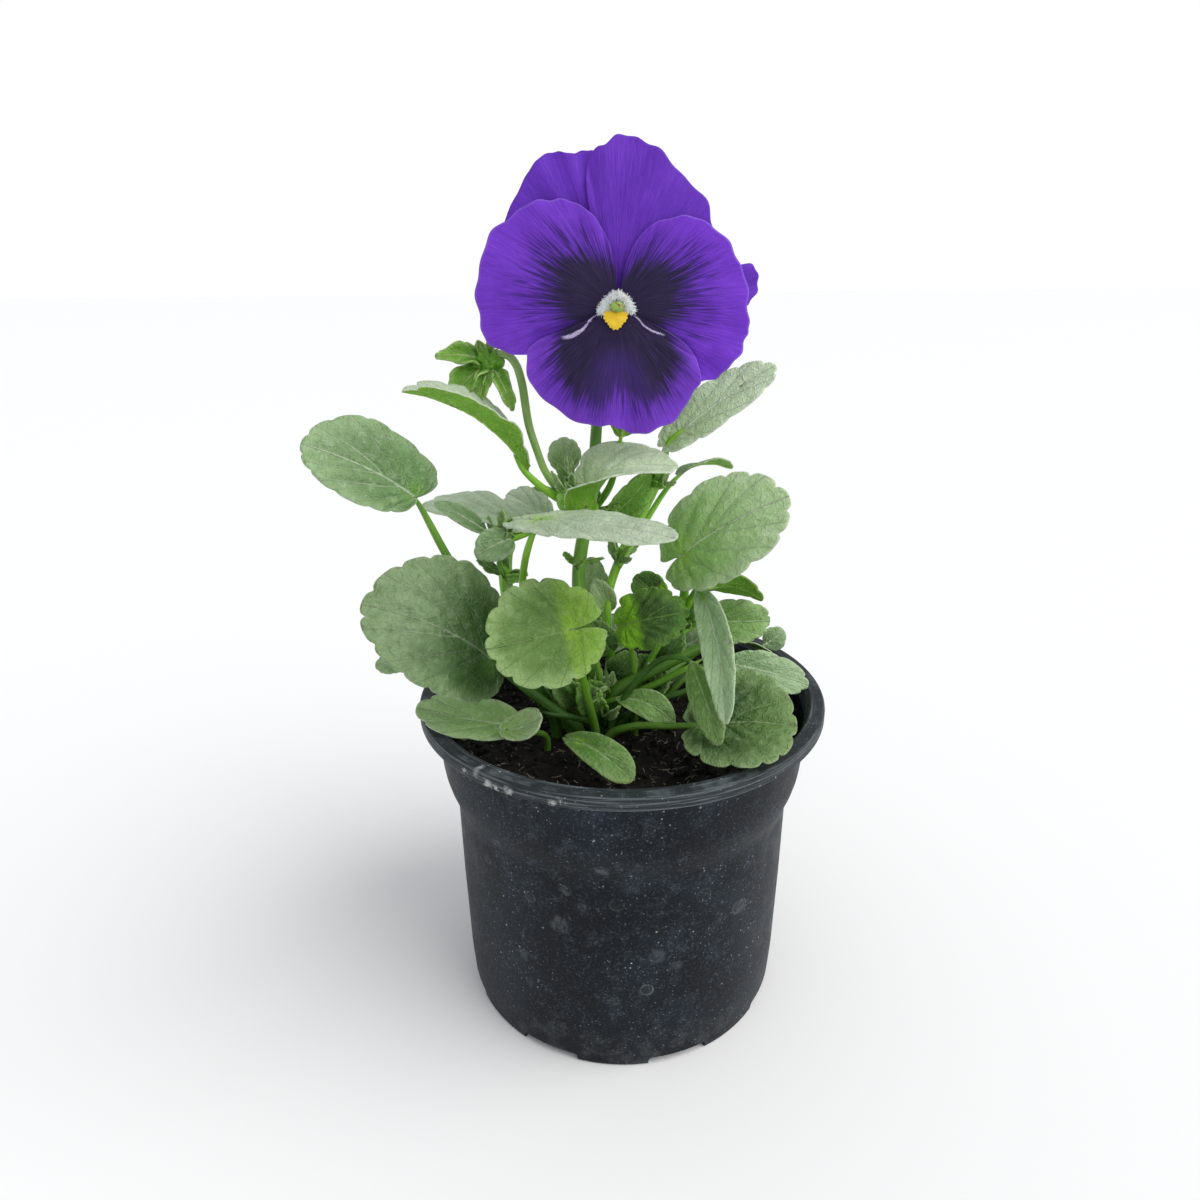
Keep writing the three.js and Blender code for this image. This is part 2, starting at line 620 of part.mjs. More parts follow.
// The spent flower: its stalk arches over, and its calyx hangs open beside the bloom.
function spentFlower() {
  const heart = [-35.3, 1.6, 192.4];
  const sepals = [
    { tip: [-49, -1, 194.2], width: 6, faces: [0.2, -1, 0.8] },
    { tip: [-46, 3, 196], width: 5, faces: [0, -1, 0.4] },
    { tip: [-45.4, -2, 181.4], width: 8.5, faces: [-0.6, -1, 0.3] },
    { tip: [-41.4, 0, 179], width: 4.5, faces: [-0.3, -1, 0.1] },
    { tip: [-37.6, -3, 182.6], width: 5, faces: [0, -1, 0] },
    { tip: [-28.8, -2, 180], width: 5, faces: [0.6, -1, 0] },
    { tip: [-37.9, 1.6, 198], width: 3, faces: [0, -1, 0.2] },
    { tip: [-34.4, 1.8, 198], width: 3, faces: [0, -1, 0.2] },
  ];
  const stalk = [
    [-9, 3, 151], [-17, 2, 157], [-21, 1, 163], [-23, 0, 169], [-25, 0, 176], [-26.6, 0.5, 187.5],
    [-28, 1.2, 191.8], [-30, 1.6, 194], [-33, 1.6, 194.4],
  ];
  const parts = [stem(stalk, 1.1, 1.1)];
  parts.push(solid(new THREE.SphereGeometry(3.6, 8, 6).scale(1.08, 0.85, 0.94).translate(...heart)));
  for (const sepal of sepals) parts.push(blade({ ...SEPAL, base: heart, arch: 0.12, ...sepal }));
  return parts;
}

// ---- The throat ----

function ellipsoid(radii, turn, centre) {
  const ball = new THREE.SphereGeometry(1, 8, 5).scale(...radii);
  return solid(ball.rotateY(THREE.MathUtils.degToRad(turn)).translate(...centre));
}

function throat() {
  const white = 0xf2efe2;
  const beardFront = 2 * BLOOM.layerGap + FIT + 1; // in front of the two lateral petals
  const lowerFront = 3 * BLOOM.layerGap;
  return [
    piece("beard_left", ellipsoid([3, 0.6, 1.1], -40, inBloom(-2.4, 1.7, beardFront)), white, 0.9),
    piece("beard_right", ellipsoid([2.7, 0.6, 1.1], 46, inBloom(2.6, 1.7, beardFront)), white, 0.9),
    piece("throat_heart", ellipsoid([3, 0.35, 2.2], 0, inBloom(-0.4, -3, lowerFront + 0.9)), 0xf6c21c, 0.6),
    piece("stigma", ellipsoid([1.2, 1, 1.2], 0, inBloom(0, 0.6, lowerFront + 1.35)), 0x8fa33a, 0.5),
  ];
}

// ---- The pot ----

// A wedge of a ring between two radii, `span` degrees wide, from one height to another.
function ringWedge(inner, outer, span, low, high, angle) {
  const half = THREE.MathUtils.degToRad(span / 2);
  const shape = new THREE.Shape();
  shape.absarc(0, 0, outer, -half, half, false);
  shape.absarc(0, 0, inner, half, -half, true);
  const depth = high - low;
  const geometry = new THREE.ExtrudeGeometry(shape, { depth, bevelEnabled: false, curveSegments: 3 });
  return solid(geometry.translate(0, 0, low).rotateZ(THREE.MathUtils.degToRad(angle)));
}

function channelAngles() {
  return Array.from({ length: CHANNEL.count }, (_, i) => CHANNEL.firstAngle + (i * 360) / CHANNEL.count);
}

// The raised channels, `grow` larger all round, as a tool that the soil is cut with too.
function channelRoofs(grow, low) {
  const inner = CHANNEL.from - POT.wall - grow;
  const outer = POT.baseRadius - 0.5 + grow;
  const high = CHANNEL.lift + POT.floor + grow;
  return channelAngles().map((angle) => ringWedge(inner, outer, CHANNEL.span + 4, low, high, angle));
}

// A stretch of the side, set in from the outside by `depth`.
function setIn(points, depth) {
  return points.map(([radius, height]) => [radius - depth, height]);
}

function drainHole(angle) {
  const { holeRadius, holeAt, holeSides, lift } = CHANNEL;
  const turn = THREE.MathUtils.degToRad(angle);
  const hole = new THREE.CylinderGeometry(holeRadius, holeRadius, 4 * lift, holeSides).rotateX(Math.PI / 2);
  return solid(hole.translate(holeAt * Math.cos(turn), holeAt * Math.sin(turn), lift));
}

function potSolid() {
  const { height, rimRadius, rimBand, mouthRadius, baseRadius, baseRound, wall, floor, segments } = POT;
  const rimFoot = height - rimBand;
  const outer = turned(
    [
      [0, 0], [baseRadius - baseRound, 0], [baseRadius, baseRound],
      ...SIDE.wall, ...SIDE.shoulder, ...SIDE.collar,
      [rimRadius - 0.6, rimFoot - 0.2], [rimRadius, rimFoot + 0.5],
      [rimRadius, height - 1.2], [rimRadius - 1.2, height], [0, height],
    ],
    segments,
  );
  const inner = turned(
    [
      [0, floor], [baseRadius - wall, floor], ...setIn([...SIDE.wall, ...SIDE.collar], wall),
      [mouthRadius, height - 0.6], [mouthRadius + 0.4, height + 1], [0, height + 1],
    ],
    segments,
  );
  const shell = join([outer.subtract(inner), ...channelRoofs(0, floor / 3)]);
  const grooves = channelAngles().map((angle) =>
    ringWedge(CHANNEL.from, rimRadius, CHANNEL.span, -1, CHANNEL.lift, angle),
  );
  return cut(shell, [...grooves, ...channelAngles().map(drainHole)]);
}

// ---- The soil ----

// Uneven ground: a few crossed waves, which die out towards the pot's wall.
function groundHeight(x, y) {
  const reach = Math.hypot(x, y) / POT.mouthRadius;
  const fall = (SOIL.level - SOIL.edgeLevel) * reach * reach;
  const bumps = Math.sin(x * 0.31 + 1) * Math.cos(y * 0.27) + 0.6 * Math.sin(x * 0.63 - y * 0.51);
  return SOIL.level - fall + SOIL.roughness * bumps * (1 - reach);
}

function rootHole({ at: [x, y], radius }) {
  const wide = radius + ROOT.clearance;
  const deep = ROOT.depth + FIT;
  const hole = new THREE.CylinderGeometry(wide, wide, 2 * deep, ROOT.holeSides).rotateX(Math.PI / 2);
  return solid(hole.translate(x, y, SOIL.level));
}

function soilSolid(roots) {
  const gap = POT.wall + FIT;
  const bottom = POT.floor + FIT;
  const [collarRadius, collarHeight] = SIDE.collar[0];
  const topRadius = collarRadius - gap;
  const outline = [
    [0, bottom], [POT.baseRadius - gap - FIT, bottom], ...setIn(SIDE.wall, gap),
    [topRadius - FIT, collarHeight], [topRadius, SOIL.edgeLevel],
  ];
  for (let i = SOIL.rings - 1; i >= 0; i--) {
    outline.push([(i / SOIL.rings) * topRadius, SOIL.edgeLevel]);
  }
  const points = outline.map(([radius, height]) => new THREE.Vector2(radius, height));
  const geometry = new THREE.LatheGeometry(points, SOIL.segments).rotateX(Math.PI / 2);
  const position = geometry.attributes.position;
  for (let i = 0; i < position.count; i++) {
    const onTop = position.getZ(i) > SOIL.edgeLevel - 0.5;
    if (onTop) position.setZ(i, groundHeight(position.getX(i), position.getY(i)));
  }
  return cut(solid(geometry), [...channelRoofs(FIT, 0), ...roots.map(rootHole)]);
}

// ---- The planter put together ----

const planter = new THREE.Group();
const roots = [];

for (const [name, shoot] of Object.entries(SHOOTS)) {
  const parts = shootSolid(shoot);
  if (name === "main_shoot") parts.push(...calyx(), ...spentFlower());
  planter.add(piece(name, join(parts), shoot.color));
  roots.push({ at: shoot.root, radius: shoot.radius });
}
for (const [name, leaf] of Object.entries(BASAL_LEAVES)) {
  const parts = [leafWithStalk({ ...leaf, from: [...rooted(leaf.root), ...leaf.via] })];
  if (name === "rim_left") parts.push(leafWithStalk(FOLDED_LOBE));
  planter.add(piece("leaf_" + name, join(parts), leaf.color));
  roots.push({ at: leaf.root, radius: leaf.stalk * 1.15 });
}
for (const [name, petal] of Object.entries(PETALS)) {
  planter.add(piece(name, petalSolid(petal), 0x5b2fb5, 0.5));
}
planter.add(...throat());
planter.add(piece("pot", potSolid(), 0x23282f, 0.55));
planter.add(piece("soil", soilSolid(roots), 0x2b211b, 0.95));

export default planter;
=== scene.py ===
# A potted pansy in flower, dressed piece by piece around its solid frame.
# The tables are in millimetres, meshes in metres; +Z is up and the bloom faces -Y.
import math
import random

import bpy
import numpy as np
from mathutils import Euler, Matrix, Vector, noise


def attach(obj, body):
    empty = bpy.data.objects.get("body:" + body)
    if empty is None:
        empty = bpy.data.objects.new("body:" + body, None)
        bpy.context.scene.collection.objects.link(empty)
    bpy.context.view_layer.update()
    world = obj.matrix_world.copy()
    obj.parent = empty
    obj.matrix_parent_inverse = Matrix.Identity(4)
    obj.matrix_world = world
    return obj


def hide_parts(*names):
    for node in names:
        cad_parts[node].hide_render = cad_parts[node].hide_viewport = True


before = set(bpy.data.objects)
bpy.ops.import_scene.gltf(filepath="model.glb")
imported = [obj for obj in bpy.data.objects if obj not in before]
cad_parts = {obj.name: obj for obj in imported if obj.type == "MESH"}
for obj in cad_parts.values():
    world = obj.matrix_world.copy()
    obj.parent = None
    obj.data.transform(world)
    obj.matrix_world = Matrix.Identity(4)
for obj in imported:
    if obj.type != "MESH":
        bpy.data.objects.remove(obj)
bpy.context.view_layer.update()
MM = 0.001

# ---- View and studio ----
# The planter is seen from a little above the bloom, looking down at the pot. It stands on a plain
# pale floor, under a broad soft light from the upper right, and its soft shadow falls to the left.

view = bpy.data.objects.new("view", bpy.data.cameras.new("view"))
view.data.sensor_width = 36
view.data.lens = 24.975
view.data.clip_start = 0.01
view.data.dof.use_dof = False
yaw = Matrix.Rotation(0.027, 4, "Z")
pitch = Matrix.Rotation(math.pi / 2 - 0.3595, 4, "X")
roll = Matrix.Rotation(-0.009, 4, "Z")
view.matrix_world = Matrix.Translation((0, -0.2273, 0.2108)) @ yaw @ pitch @ roll
bpy.context.scene.collection.objects.link(view)
bpy.context.scene.camera = view
bpy.context.scene.view_settings.view_transform = "Standard"

studio = bpy.data.worlds.new("studio")
studio.use_nodes = True
lighting = studio.node_tree.nodes["Background"]
lighting.inputs["Color"].default_value = (0.95, 0.97, 1, 1)
lighting.inputs["Strength"].default_value = 0.66
backdrop = studio.node_tree.nodes.new("ShaderNodeBackground")
backdrop.inputs["Color"].default_value = (1, 1, 1, 1)
seen = studio.node_tree.nodes.new("ShaderNodeLightPath")
either = studio.node_tree.nodes.new("ShaderNodeMixShader")
studio.node_tree.links.new(seen.outputs["Is Camera Ray"], either.inputs[0])
studio.node_tree.links.new(lighting.outputs[0], either.inputs[1])
studio.node_tree.links.new(backdrop.outputs[0], either.inputs[2])
studio.node_tree.links.new(either.outputs[0], studio.node_tree.nodes["World Output"].inputs[0])
bpy.context.scene.world = studio

skylight = bpy.data.objects.new("skylight", bpy.data.lights.new("skylight", "SUN"))
skylight.data.energy = 1.95
skylight.data.angle = math.radians(55)
skylight.data.color = (1, 0.985, 0.96)
toward_light = Vector((0.75, -0.28, 0.85))
skylight.rotation_euler = toward_light.to_track_quat("Z", "Y").to_euler()
bpy.context.scene.collection.objects.link(skylight)

bpy.ops.object.select_all(action="DESELECT")
bpy.ops.mesh.primitive_plane_add(size=60)
floor = bpy.context.object
floor.name = "floor"
floor_paint = bpy.data.materials.new("floor_paint")
floor_paint.use_nodes = True
floor_paint.node_tree.nodes["Principled BSDF"].inputs["Base Color"].default_value = (0.93, 0.93, 0.93, 1)
floor_paint.node_tree.nodes["Principled BSDF"].inputs["Roughness"].default_value = 0.9
floor.data.materials.append(floor_paint)

# ---- Pot ----
# A 12 cm nursery pot, injection-moulded in black plastic as one piece: rolled rim, collar, soft
# shoulder, thin wall, and a floor whose drainage channels open as arches at the foot of the wall.


def turned(name, profile, segments):
    """A closed shell turned about the pot's axis from [radius, height] pairs, by extruding a ring."""
    bpy.ops.object.select_all(action="DESELECT")
    radius, height = profile[0]
    bpy.ops.mesh.primitive_circle_add(vertices=segments, radius=radius * MM)
    shell = bpy.context.object
    shell.name = name
    bpy.ops.object.mode_set(mode="EDIT")
    bpy.ops.mesh.select_all(action="SELECT")
    bpy.ops.transform.translate(value=(0, 0, height * MM))
    for next_radius, next_height in profile[1:]:
        rise = (0, 0, (next_height - height) * MM)
        grow = next_radius / radius
        bpy.ops.mesh.extrude_edges_move(TRANSFORM_OT_translate={"value": rise})
        bpy.ops.transform.resize(value=(grow, grow, 1), center_override=(0, 0, 0))
        radius, height = next_radius, next_height
    bpy.ops.mesh.select_all(action="SELECT")
    bpy.ops.mesh.fill_holes(sides=0)
    bpy.ops.mesh.select_all(action="SELECT")
    bpy.ops.mesh.normals_make_consistent(inside=False)
    bpy.ops.object.mode_set(mode="OBJECT")
    return shell


def round_edge(centre_radius, centre_height, radius, start, end, steps=5):
    """Profile points round a quarter or half circle, from one angle to another in degrees."""
    points = []
    for i in range(steps + 1):
        angle = math.radians(start + (end - start) * i / steps)
        reach = centre_radius + radius * math.cos(angle)
        points.append((reach, centre_height + radius * math.sin(angle)))
    return points


pot_profile = [
    (0.6, 4.1), (30, 4.1), (46.6, 4.1), (48.1, 5.2), (48.8, 12), (49.4, 40), (49.6, 65),
    (50.2, 67.6), (51.6, 71.6), (52.6, 75), (53.2, 79), (54.2, 92), (54.5, 94.5), (55.3, 96.9),
    *round_edge(56.3, 97.35, 0.65, 180, 70, 4),
    (57.1, 97.75), (57.6, 97.8),
    *round_edge(58.9, 96.75, 1.1, 80, 0, 5),
    (60, 95.4),
    *round_edge(59.4, 94.5, 0.6, 0, -80, 3),
    (56.6, 93.7), (55.6, 93.3), (55.35, 92.4), (55.1, 88), (54.4, 79), (54, 76.2), (53.2, 73),
    (51.6, 68.6), (51, 66.6), (50.8, 64), (50.6, 40), (50, 12), (49.4, 2),
    *round_edge(48.5, 0.8, 0.8, 0, -90, 3),
    (30, 0), (0.6, 0),
]
pot = turned("nursery_pot", pot_profile, 180)

# The drainage channels: how many, the bearing of the first and the span of each in degrees, the lift
# of their roof, where they start and end, and the drain hole through each.
channel_count, first_channel, channel_span, channel_lift = 8, -70.2, 21, 2.5
channel_start, channel_end, hole_radius, hole_at = 16, 56, 3.5, 40
cutters = []
for k in range(channel_count):
    middle = math.radians(first_channel + k * 360 / channel_count)
    half = math.radians(channel_span / 2)
    bpy.ops.mesh.primitive_cube_add(size=2)
    channel = bpy.context.object
    for corner in channel.data.vertices:
        reach = channel_start if corner.co.x < 0 else channel_end
        angle = middle + half * corner.co.y
        height = channel_lift if corner.co.z > 0 else -3
        corner.co = Vector((reach * math.cos(angle), reach * math.sin(angle), height)) * MM
    soften = channel.modifiers.new("soften", "BEVEL")
    soften.width = 1.3 * MM
    soften.segments = 4
    bpy.ops.object.modifier_apply(modifier="soften")
    cutters.append(channel)
    spot = (hole_at * math.cos(middle) * MM, hole_at * math.sin(middle) * MM, 3 * MM)
    bpy.ops.mesh.primitive_cylinder_add(vertices=36, radius=hole_radius * MM, depth=8 * MM, location=spot)
    cutters.append(bpy.context.object)
bpy.ops.object.select_all(action="DESELECT")
for cutter in cutters:
    cutter.select_set(True)
bpy.context.view_layer.objects.active = cutters[0]
bpy.ops.object.join()
drainage = bpy.context.object
drainage.name = "drainage_cutter"
bpy.ops.object.select_all(action="DESELECT")
bpy.context.view_layer.objects.active = pot
pot.select_set(True)
drain = pot.modifiers.new("drain", "BOOLEAN")
drain.object = drainage
drain.operation = "DIFFERENCE"
drain.solver = "EXACT"
drain.use_self = True
bpy.ops.object.modifier_apply(modifier="drain")
bpy.data.objects.remove(drainage)
bpy.ops.object.mode_set(mode="EDIT")
bpy.ops.mesh.select_all(action="SELECT")
bpy.ops.mesh.remove_doubles(threshold=0.02 * MM)
bpy.ops.mesh.delete_loose()
bpy.ops.object.mode_set(mode="OBJECT")
bpy.ops.object.shade_smooth_by_angle(angle=math.radians(38))


def paint(code):
    """A colour for a shader, from its six-digit screen code."""
    shares = [int(code[i:i + 2], 16) / 255 for i in (1, 3, 5)]
    return (*[s / 12.92 if s <= 0.04045 else ((s + 0.055) / 1.055) ** 2.4 for s in shares], 1)


def add(tree, kind, inputs=None, **settings):
    """Adds a shader node with its settings; an input is a number, a colour or another node's socket."""
    made = tree.nodes.new(kind)
    for name, value in settings.items():
        setattr(made, name, value)
    for key, value in (inputs or {}).items():
        if isinstance(value, bpy.types.NodeSocket):
            tree.links.new(value, made.inputs[key])
        else:
            made.inputs[key].default_value = value
    return made


def calc(tree, operation, a, b=0.0, c=0.0):
    """One step of arithmetic."""
    return add(tree, "ShaderNodeMath", {0: a, 1: b, 2: c}, operation=operation).outputs[0]


def times(tree, *factors):
    """The product of shader values."""
    product = factors[0]
    for factor in factors[1:]:
        product = calc(tree, "MULTIPLY", product, factor)
    return product


def stray(tree, value, cloudy, amount):
    """Moves a value up and down with a noise of 0 to 1, by half the amount at most."""
    return calc(tree, "MULTIPLY_ADD", calc(tree, "SUBTRACT", cloudy, 0.5), amount, value)


def ease(tree, value, start, end, low=0.0, high=1.0):
    """Goes smoothly from low to high while the value goes from start to end."""
    inputs = {"Value": value, "From Min": start, "From Max": end, "To Min": low, "To Max": high}
    return add(tree, "ShaderNodeMapRange", inputs, interpolation_type="SMOOTHSTEP").outputs[0]


def blend(tree, share, first, second, mode="MIX"):
    """Blends two colours, by a share of the second."""
    mixer = add(tree, "ShaderNodeMix", data_type="RGBA", blend_type=mode, clamp_factor=True)
    for number, value in ((0, share), (6, first), (7, second)):
        if isinstance(value, bpy.types.NodeSocket):
            tree.links.new(value, mixer.inputs[number])
        else:
            mixer.inputs[number].default_value = value
    return mixer.outputs[2]


def coat(tree, share, under, shade):
    """Lays a colour, given by its screen code, over another one."""
    return blend(tree, share, under, paint(shade))


def split(tree, vector):
    """The three numbers of a vector."""
    return add(tree, "ShaderNodeSeparateXYZ", {0: vector}).outputs[:3]


def vector_from(tree, *numbers):
    """A vector from up to three numbers."""
    return add(tree, "ShaderNodeCombineXYZ", dict(enumerate(numbers))).outputs[0]


def grain(tree, vector, scale, detail=3.0, roughness=0.5, distortion=0.0):
    """Cloudy noise from 0 to 1; the scale is in patches to the metre."""
    inputs = {"Vector": vector, "Scale": scale, "Detail": detail, "Roughness": roughness}
    inputs["Distortion"] = distortion
    return add(tree, "ShaderNodeTexNoise", inputs).outputs["Fac"]


def new_finish(name, roughness=0.5, **constants):
    """A new material: its node tree, its shader, and the object's own coordinates."""
    material = bpy.data.materials.new(name)
    material.use_nodes = True
    tree = material.node_tree
    shader = tree.nodes["Principled BSDF"]
    shader.inputs["Roughness"].default_value = roughness
    for key, value in constants.items():
        shader.inputs[key.replace("_", " ")].default_value = value
    place = add(tree, "ShaderNodeTexCoord").outputs["Object"]
    return material, tree, shader, place


def relief(tree, shader, height, depth):
    """Raises the surface by a height map, up to a depth in metres."""
    bump = add(tree, "ShaderNodeBump", {"Height": height, "Distance": depth, "Strength": 1.0})
    tree.links.new(bump.outputs[0], shader.inputs["Normal"])


def new_group(name, numbers=(), colours=()):
    """A shader node group: its tree, its inputs with the colours first, and object coordinates."""
    group = bpy.data.node_groups.new(name, "ShaderNodeTree")
    for names, kind in ((colours, "NodeSocketColor"), (numbers, "NodeSocketFloat")):
        for socket in names:
            group.interface.new_socket(socket, in_out="INPUT", socket_type=kind)
    given = group.nodes.new("NodeGroupInput").outputs[:len(colours) + len(numbers)]
    return group, given, add(group, "ShaderNodeTexCoord").outputs["Object"]


def put_out(group, **results):
    """Gives a node group its outputs."""
    for name, value in results.items():
        kind = "NodeSocketColor" if value.type == "RGBA" else "NodeSocketFloat"
        group.interface.new_socket(name.replace("_", " "), in_out="OUTPUT", socket_type=kind)
    result = group.nodes.new("NodeGroupOutput")
    for number, value in enumerate(results.values()):
        group.links.new(value, result.inputs[number])


def speck_marks():
    """A node group: small round spots of uneven strength, one to a cell where a draw allows it."""
    group, given, place = new_group("specks", ("Millimetres Apart", "Size", "Share"))
    apart, size, share = given
    scale = calc(group, "DIVIDE", 1000, apart)
    cells = add(group, "ShaderNodeTexVoronoi", {"Vector": place, "Scale": scale, "Randomness": 1.0})
    draw = add(group, "ShaderNodeSeparateColor", {0: cells.outputs["Color"]})
    reach = calc(group, "DIVIDE", size, apart)
    near = ease(group, cells.outputs["Distance"], reach, times(group, reach, 0.4))
    chosen = calc(group, "LESS_THAN", draw.outputs[0], share)
    strength = calc(group, "MULTIPLY_ADD", draw.outputs[1], 0.75, 0.25)
    put_out(group, Specks=times(group, near, chosen, strength))
    return group


SPECKS = speck_marks()


def specks(tree, apart, size, share):
    """The strength of the spots here; their spacing and size are in millimetres."""
    given = {"Millimetres Apart": apart, "Size": size, "Share": share}
    return add(tree, "ShaderNodeGroup", given, node_tree=SPECKS).outputs[0]


# Dried water drops on the wall: a place on it, a radius and a strength, and whether only the ring
# is left; the spots of lime on the rim; and the specks of dust, from fine to coarse: how far apart
# they are, their size, how many cells hold one, how strongly they show, and their colour.
WATER_MARKS = [
    ((-5.1, -50.4, 71.3), 3.1, 0.5, False), ((3.6, -50.6, 72.6), 3.4, 0.32, False),
    ((9, -50, 74), 2.6, 0.22, False), ((7.2, -50.2, 29.1), 1.8, 0.7, True),
    ((32.7, -38.7, 48.2), 1.9, 0.5, True), ((34, -37.6, 47.9), 2.5, 0.25, False),
    ((-14.8, -48.5, 61.6), 2, 0.4, False), ((-24.7, -44.3, 55.7), 1.5, 0.45, True),
    ((-9.8, -49.8, 57.5), 1.8, 0.4, False), ((-1, -50.7, 58.8), 1.7, 0.4, True),
    ((-16.4, -48, 49.5), 3.4, 0.4, False), ((9.8, -49.7, 40.6), 3, 0.3, False),
    ((-33, -38.5, 69.9), 3, 0.4, False), ((15, -48, 36), 2.2, 0.3, False),
    ((-2, -50, 25), 2.4, 0.25, False), ((-27, -42, 34), 2.6, 0.25, False),
    ((22, -45, 58), 2, 0.25, True), ((-37, -34, 60), 2.4, 0.3, False),
]
LIME_SPOTS = [
    ((-32.5, -48.5, 95), 2.8), ((-30, -50, 94.2), 3), ((-27, -52, 95.2), 2.4), ((-16, -56.4, 94.8), 2.2),
    ((-14, -57, 95.6), 2.2), ((-39, -43.6, 95.5), 2.4), ((-35.5, -46.4, 96.4), 2.2), ((-30, -42, 84), 2.6),
]
DUST_SPECKS = [
    (0.75, 0.2, 0.45, 0.6, "#7c848c"), (1.2, 0.26, 0.5, 0.8, "#9aa2a8"),
    (2.4, 0.32, 0.5, 0.9, "#c4cacf"), (9, 0.5, 0.4, 0.85, "#c6c9c6"),
]


def reach_from(tree, place, spot):
    """The distance to a spot given in millimetres, in millimetres."""
    inputs = {0: place, 1: [c * MM for c in spot]}
    gap = add(tree, "ShaderNodeVectorMath", inputs, operation="DISTANCE").outputs["Value"]
    return times(tree, gap, 1000)


pot_plastic, tree, shader, place = new_finish("pot_plastic", Specular_IOR_Level=0.12)
x, y, z = split(tree, place)
clouds = grain(tree, place, 45, 5, 0.62)
mottle = grain(tree, place, 160, 6, 0.7)
patchy = grain(tree, place, 420, 5, 0.72)
fine = grain(tree, place, 1400, 3, 0.6)
lengthwise = vector_from(tree, times(tree, calc(tree, "ARCTAN2", y, x), 2.2), times(tree, z, 1700))
scuffs_and_highlights = grain(tree, lengthwise, 1, 4, 0.7)
tint = blend(tree, ease(tree, clouds, 0.42, 0.7), paint("#0b1118"), paint("#19222b"))
smudge = times(tree, ease(tree, mottle, 0.48, 0.72), ease(tree, patchy, 0.42, 0.62, 0.3, 1))
tint = coat(tree, times(tree, smudge, 0.7), tint, "#3d464f")
powder = times(tree, ease(tree, fine, 0.5, 0.68), ease(tree, mottle, 0.4, 0.62, 0.12, 0.45))
tint = coat(tree, powder, tint, "#565d62")
on_rim = ease(tree, z, 0.0926, 0.0936)
# The rim is darker all round and carries lighter rubbed streaks, partly scuffs and partly painted highlights.
tint = coat(tree, times(tree, on_rim, 0.85), tint, "#1f2428")
tint = coat(tree, times(tree, on_rim, ease(tree, scuffs_and_highlights, 0.46, 0.62, 0.1, 0.9)), tint, "#61686c")
foot = times(tree, ease(tree, z, 0.016, 0.002), ease(tree, mottle, 0.4, 0.62))
tint = coat(tree, times(tree, foot, 0.45), tint, "#4a4c4c")
for centre, radius, strength, ring in WATER_MARKS:
    gap = stray(tree, reach_from(tree, place, centre), mottle, 1.5 if ring else 5)
    if ring:
        mark = ease(tree, calc(tree, "ABSOLUTE", calc(tree, "SUBTRACT", gap, radius)), 0.5, 0.05)
        mark = calc(tree, "MAXIMUM", mark, ease(tree, gap, radius, 0.3 * radius, 0, 0.4))
    else:
        mark = ease(tree, gap, radius, 0.55 * radius)
    patches = ease(tree, patchy, 0.38, 0.6, 0.12 * strength, strength)
    tint = coat(tree, times(tree, mark, patches), tint, "#63696d")
for apart, size, share, strength, shade in DUST_SPECKS:
    clusters = ease(tree, clouds, 0.4, 0.62, 0.25 * strength, strength)
    tint = coat(tree, times(tree, specks(tree, apart, size, share), clusters), tint, shade)
crust = 0.0
for centre, radius in LIME_SPOTS:
    spot = ease(tree, reach_from(tree, place, centre), radius, 0.2 * radius)
    crust = calc(tree, "MAXIMUM", crust, spot)
flaky = ease(tree, calc(tree, "MULTIPLY_ADD", crust, 0.18, patchy), 0.5, 0.57)
crust = times(tree, crust, flaky)
tint = coat(tree, crust, tint, "#e2e4e2")
tree.links.new(tint, shader.inputs["Base Color"])
tree.links.new(ease(tree, mottle, 0.3, 0.8, 0.4, 0.62), shader.inputs["Roughness"])
height = calc(tree, "MULTIPLY_ADD", mottle, 0.6, calc(tree, "MULTIPLY_ADD", crust, 4, fine))
relief(tree, shader, height, 0.06 * MM)
pot.data.materials.append(pot_plastic)
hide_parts("pot")
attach(pot, "root")

# ---- Soil ----
# Damp peat-based potting mix, filled in by hand to a centimetre below the rim: a clodded surface
# with crumbs, fibres of peat and coir, and a few pale grains.


def laid_grid(name, places):
    """A grid primitive whose corners go to an array of places, [row, column, xyz] in millimetres."""
    rows, columns = places.shape[0] - 1, places.shape[1] - 1
    bpy.ops.object.select_all(action="DESELECT")
    bpy.ops.mesh.primitive_grid_add(x_subdivisions=columns, y_subdivisions=rows, size=1)
    sheet = bpy.context.object
    sheet.name = name
    sheet.data.vertices.foreach_set("co", (places * MM).astype(np.float32).ravel())
    sheet.data.update()
    return sheet


def sew(sheet, threshold=0.01):
    """Merges corners that meet, in millimetres, and drops what collapses."""
    bpy.ops.object.mode_set(mode="EDIT")
    bpy.ops.mesh.select_all(action="SELECT")
    bpy.ops.mesh.remove_doubles(threshold=threshold * MM)
    bpy.ops.mesh.dissolve_degenerate(threshold=0.002 * MM)
    bpy.ops.mesh.delete_loose()
    bpy.ops.object.mode_set(mode="OBJECT")


def record_on(sheet, name, values):
    """Stores three numbers for each corner, for a finish to read."""
    kept = sheet.data.attributes.new(name, "FLOAT_VECTOR", "POINT")
    kept.data.foreach_set("vector", values.astype(np.float32).ravel())


SOIL_LEVEL, SOIL_EDGE, SOIL_ROUGHNESS = 88.5, 87, 0.55
MOUTH, SOIL_RADIUS = 55.9, 53.4


def ground_height(x, y):
    """The soil's gentle unevenness, which dies out towards the pot's wall."""
    reach = np.hypot(x, y) / MOUTH
    fall = (SOIL_LEVEL - SOIL_EDGE) * reach * reach
    bumps = np.sin(x * 0.31 + 1) * np.cos(y * 0.27) + 0.6 * np.sin(x * 0.63 - y * 0.51)
    return SOIL_LEVEL - fall + SOIL_ROUGHNESS * bumps * (1 - reach)


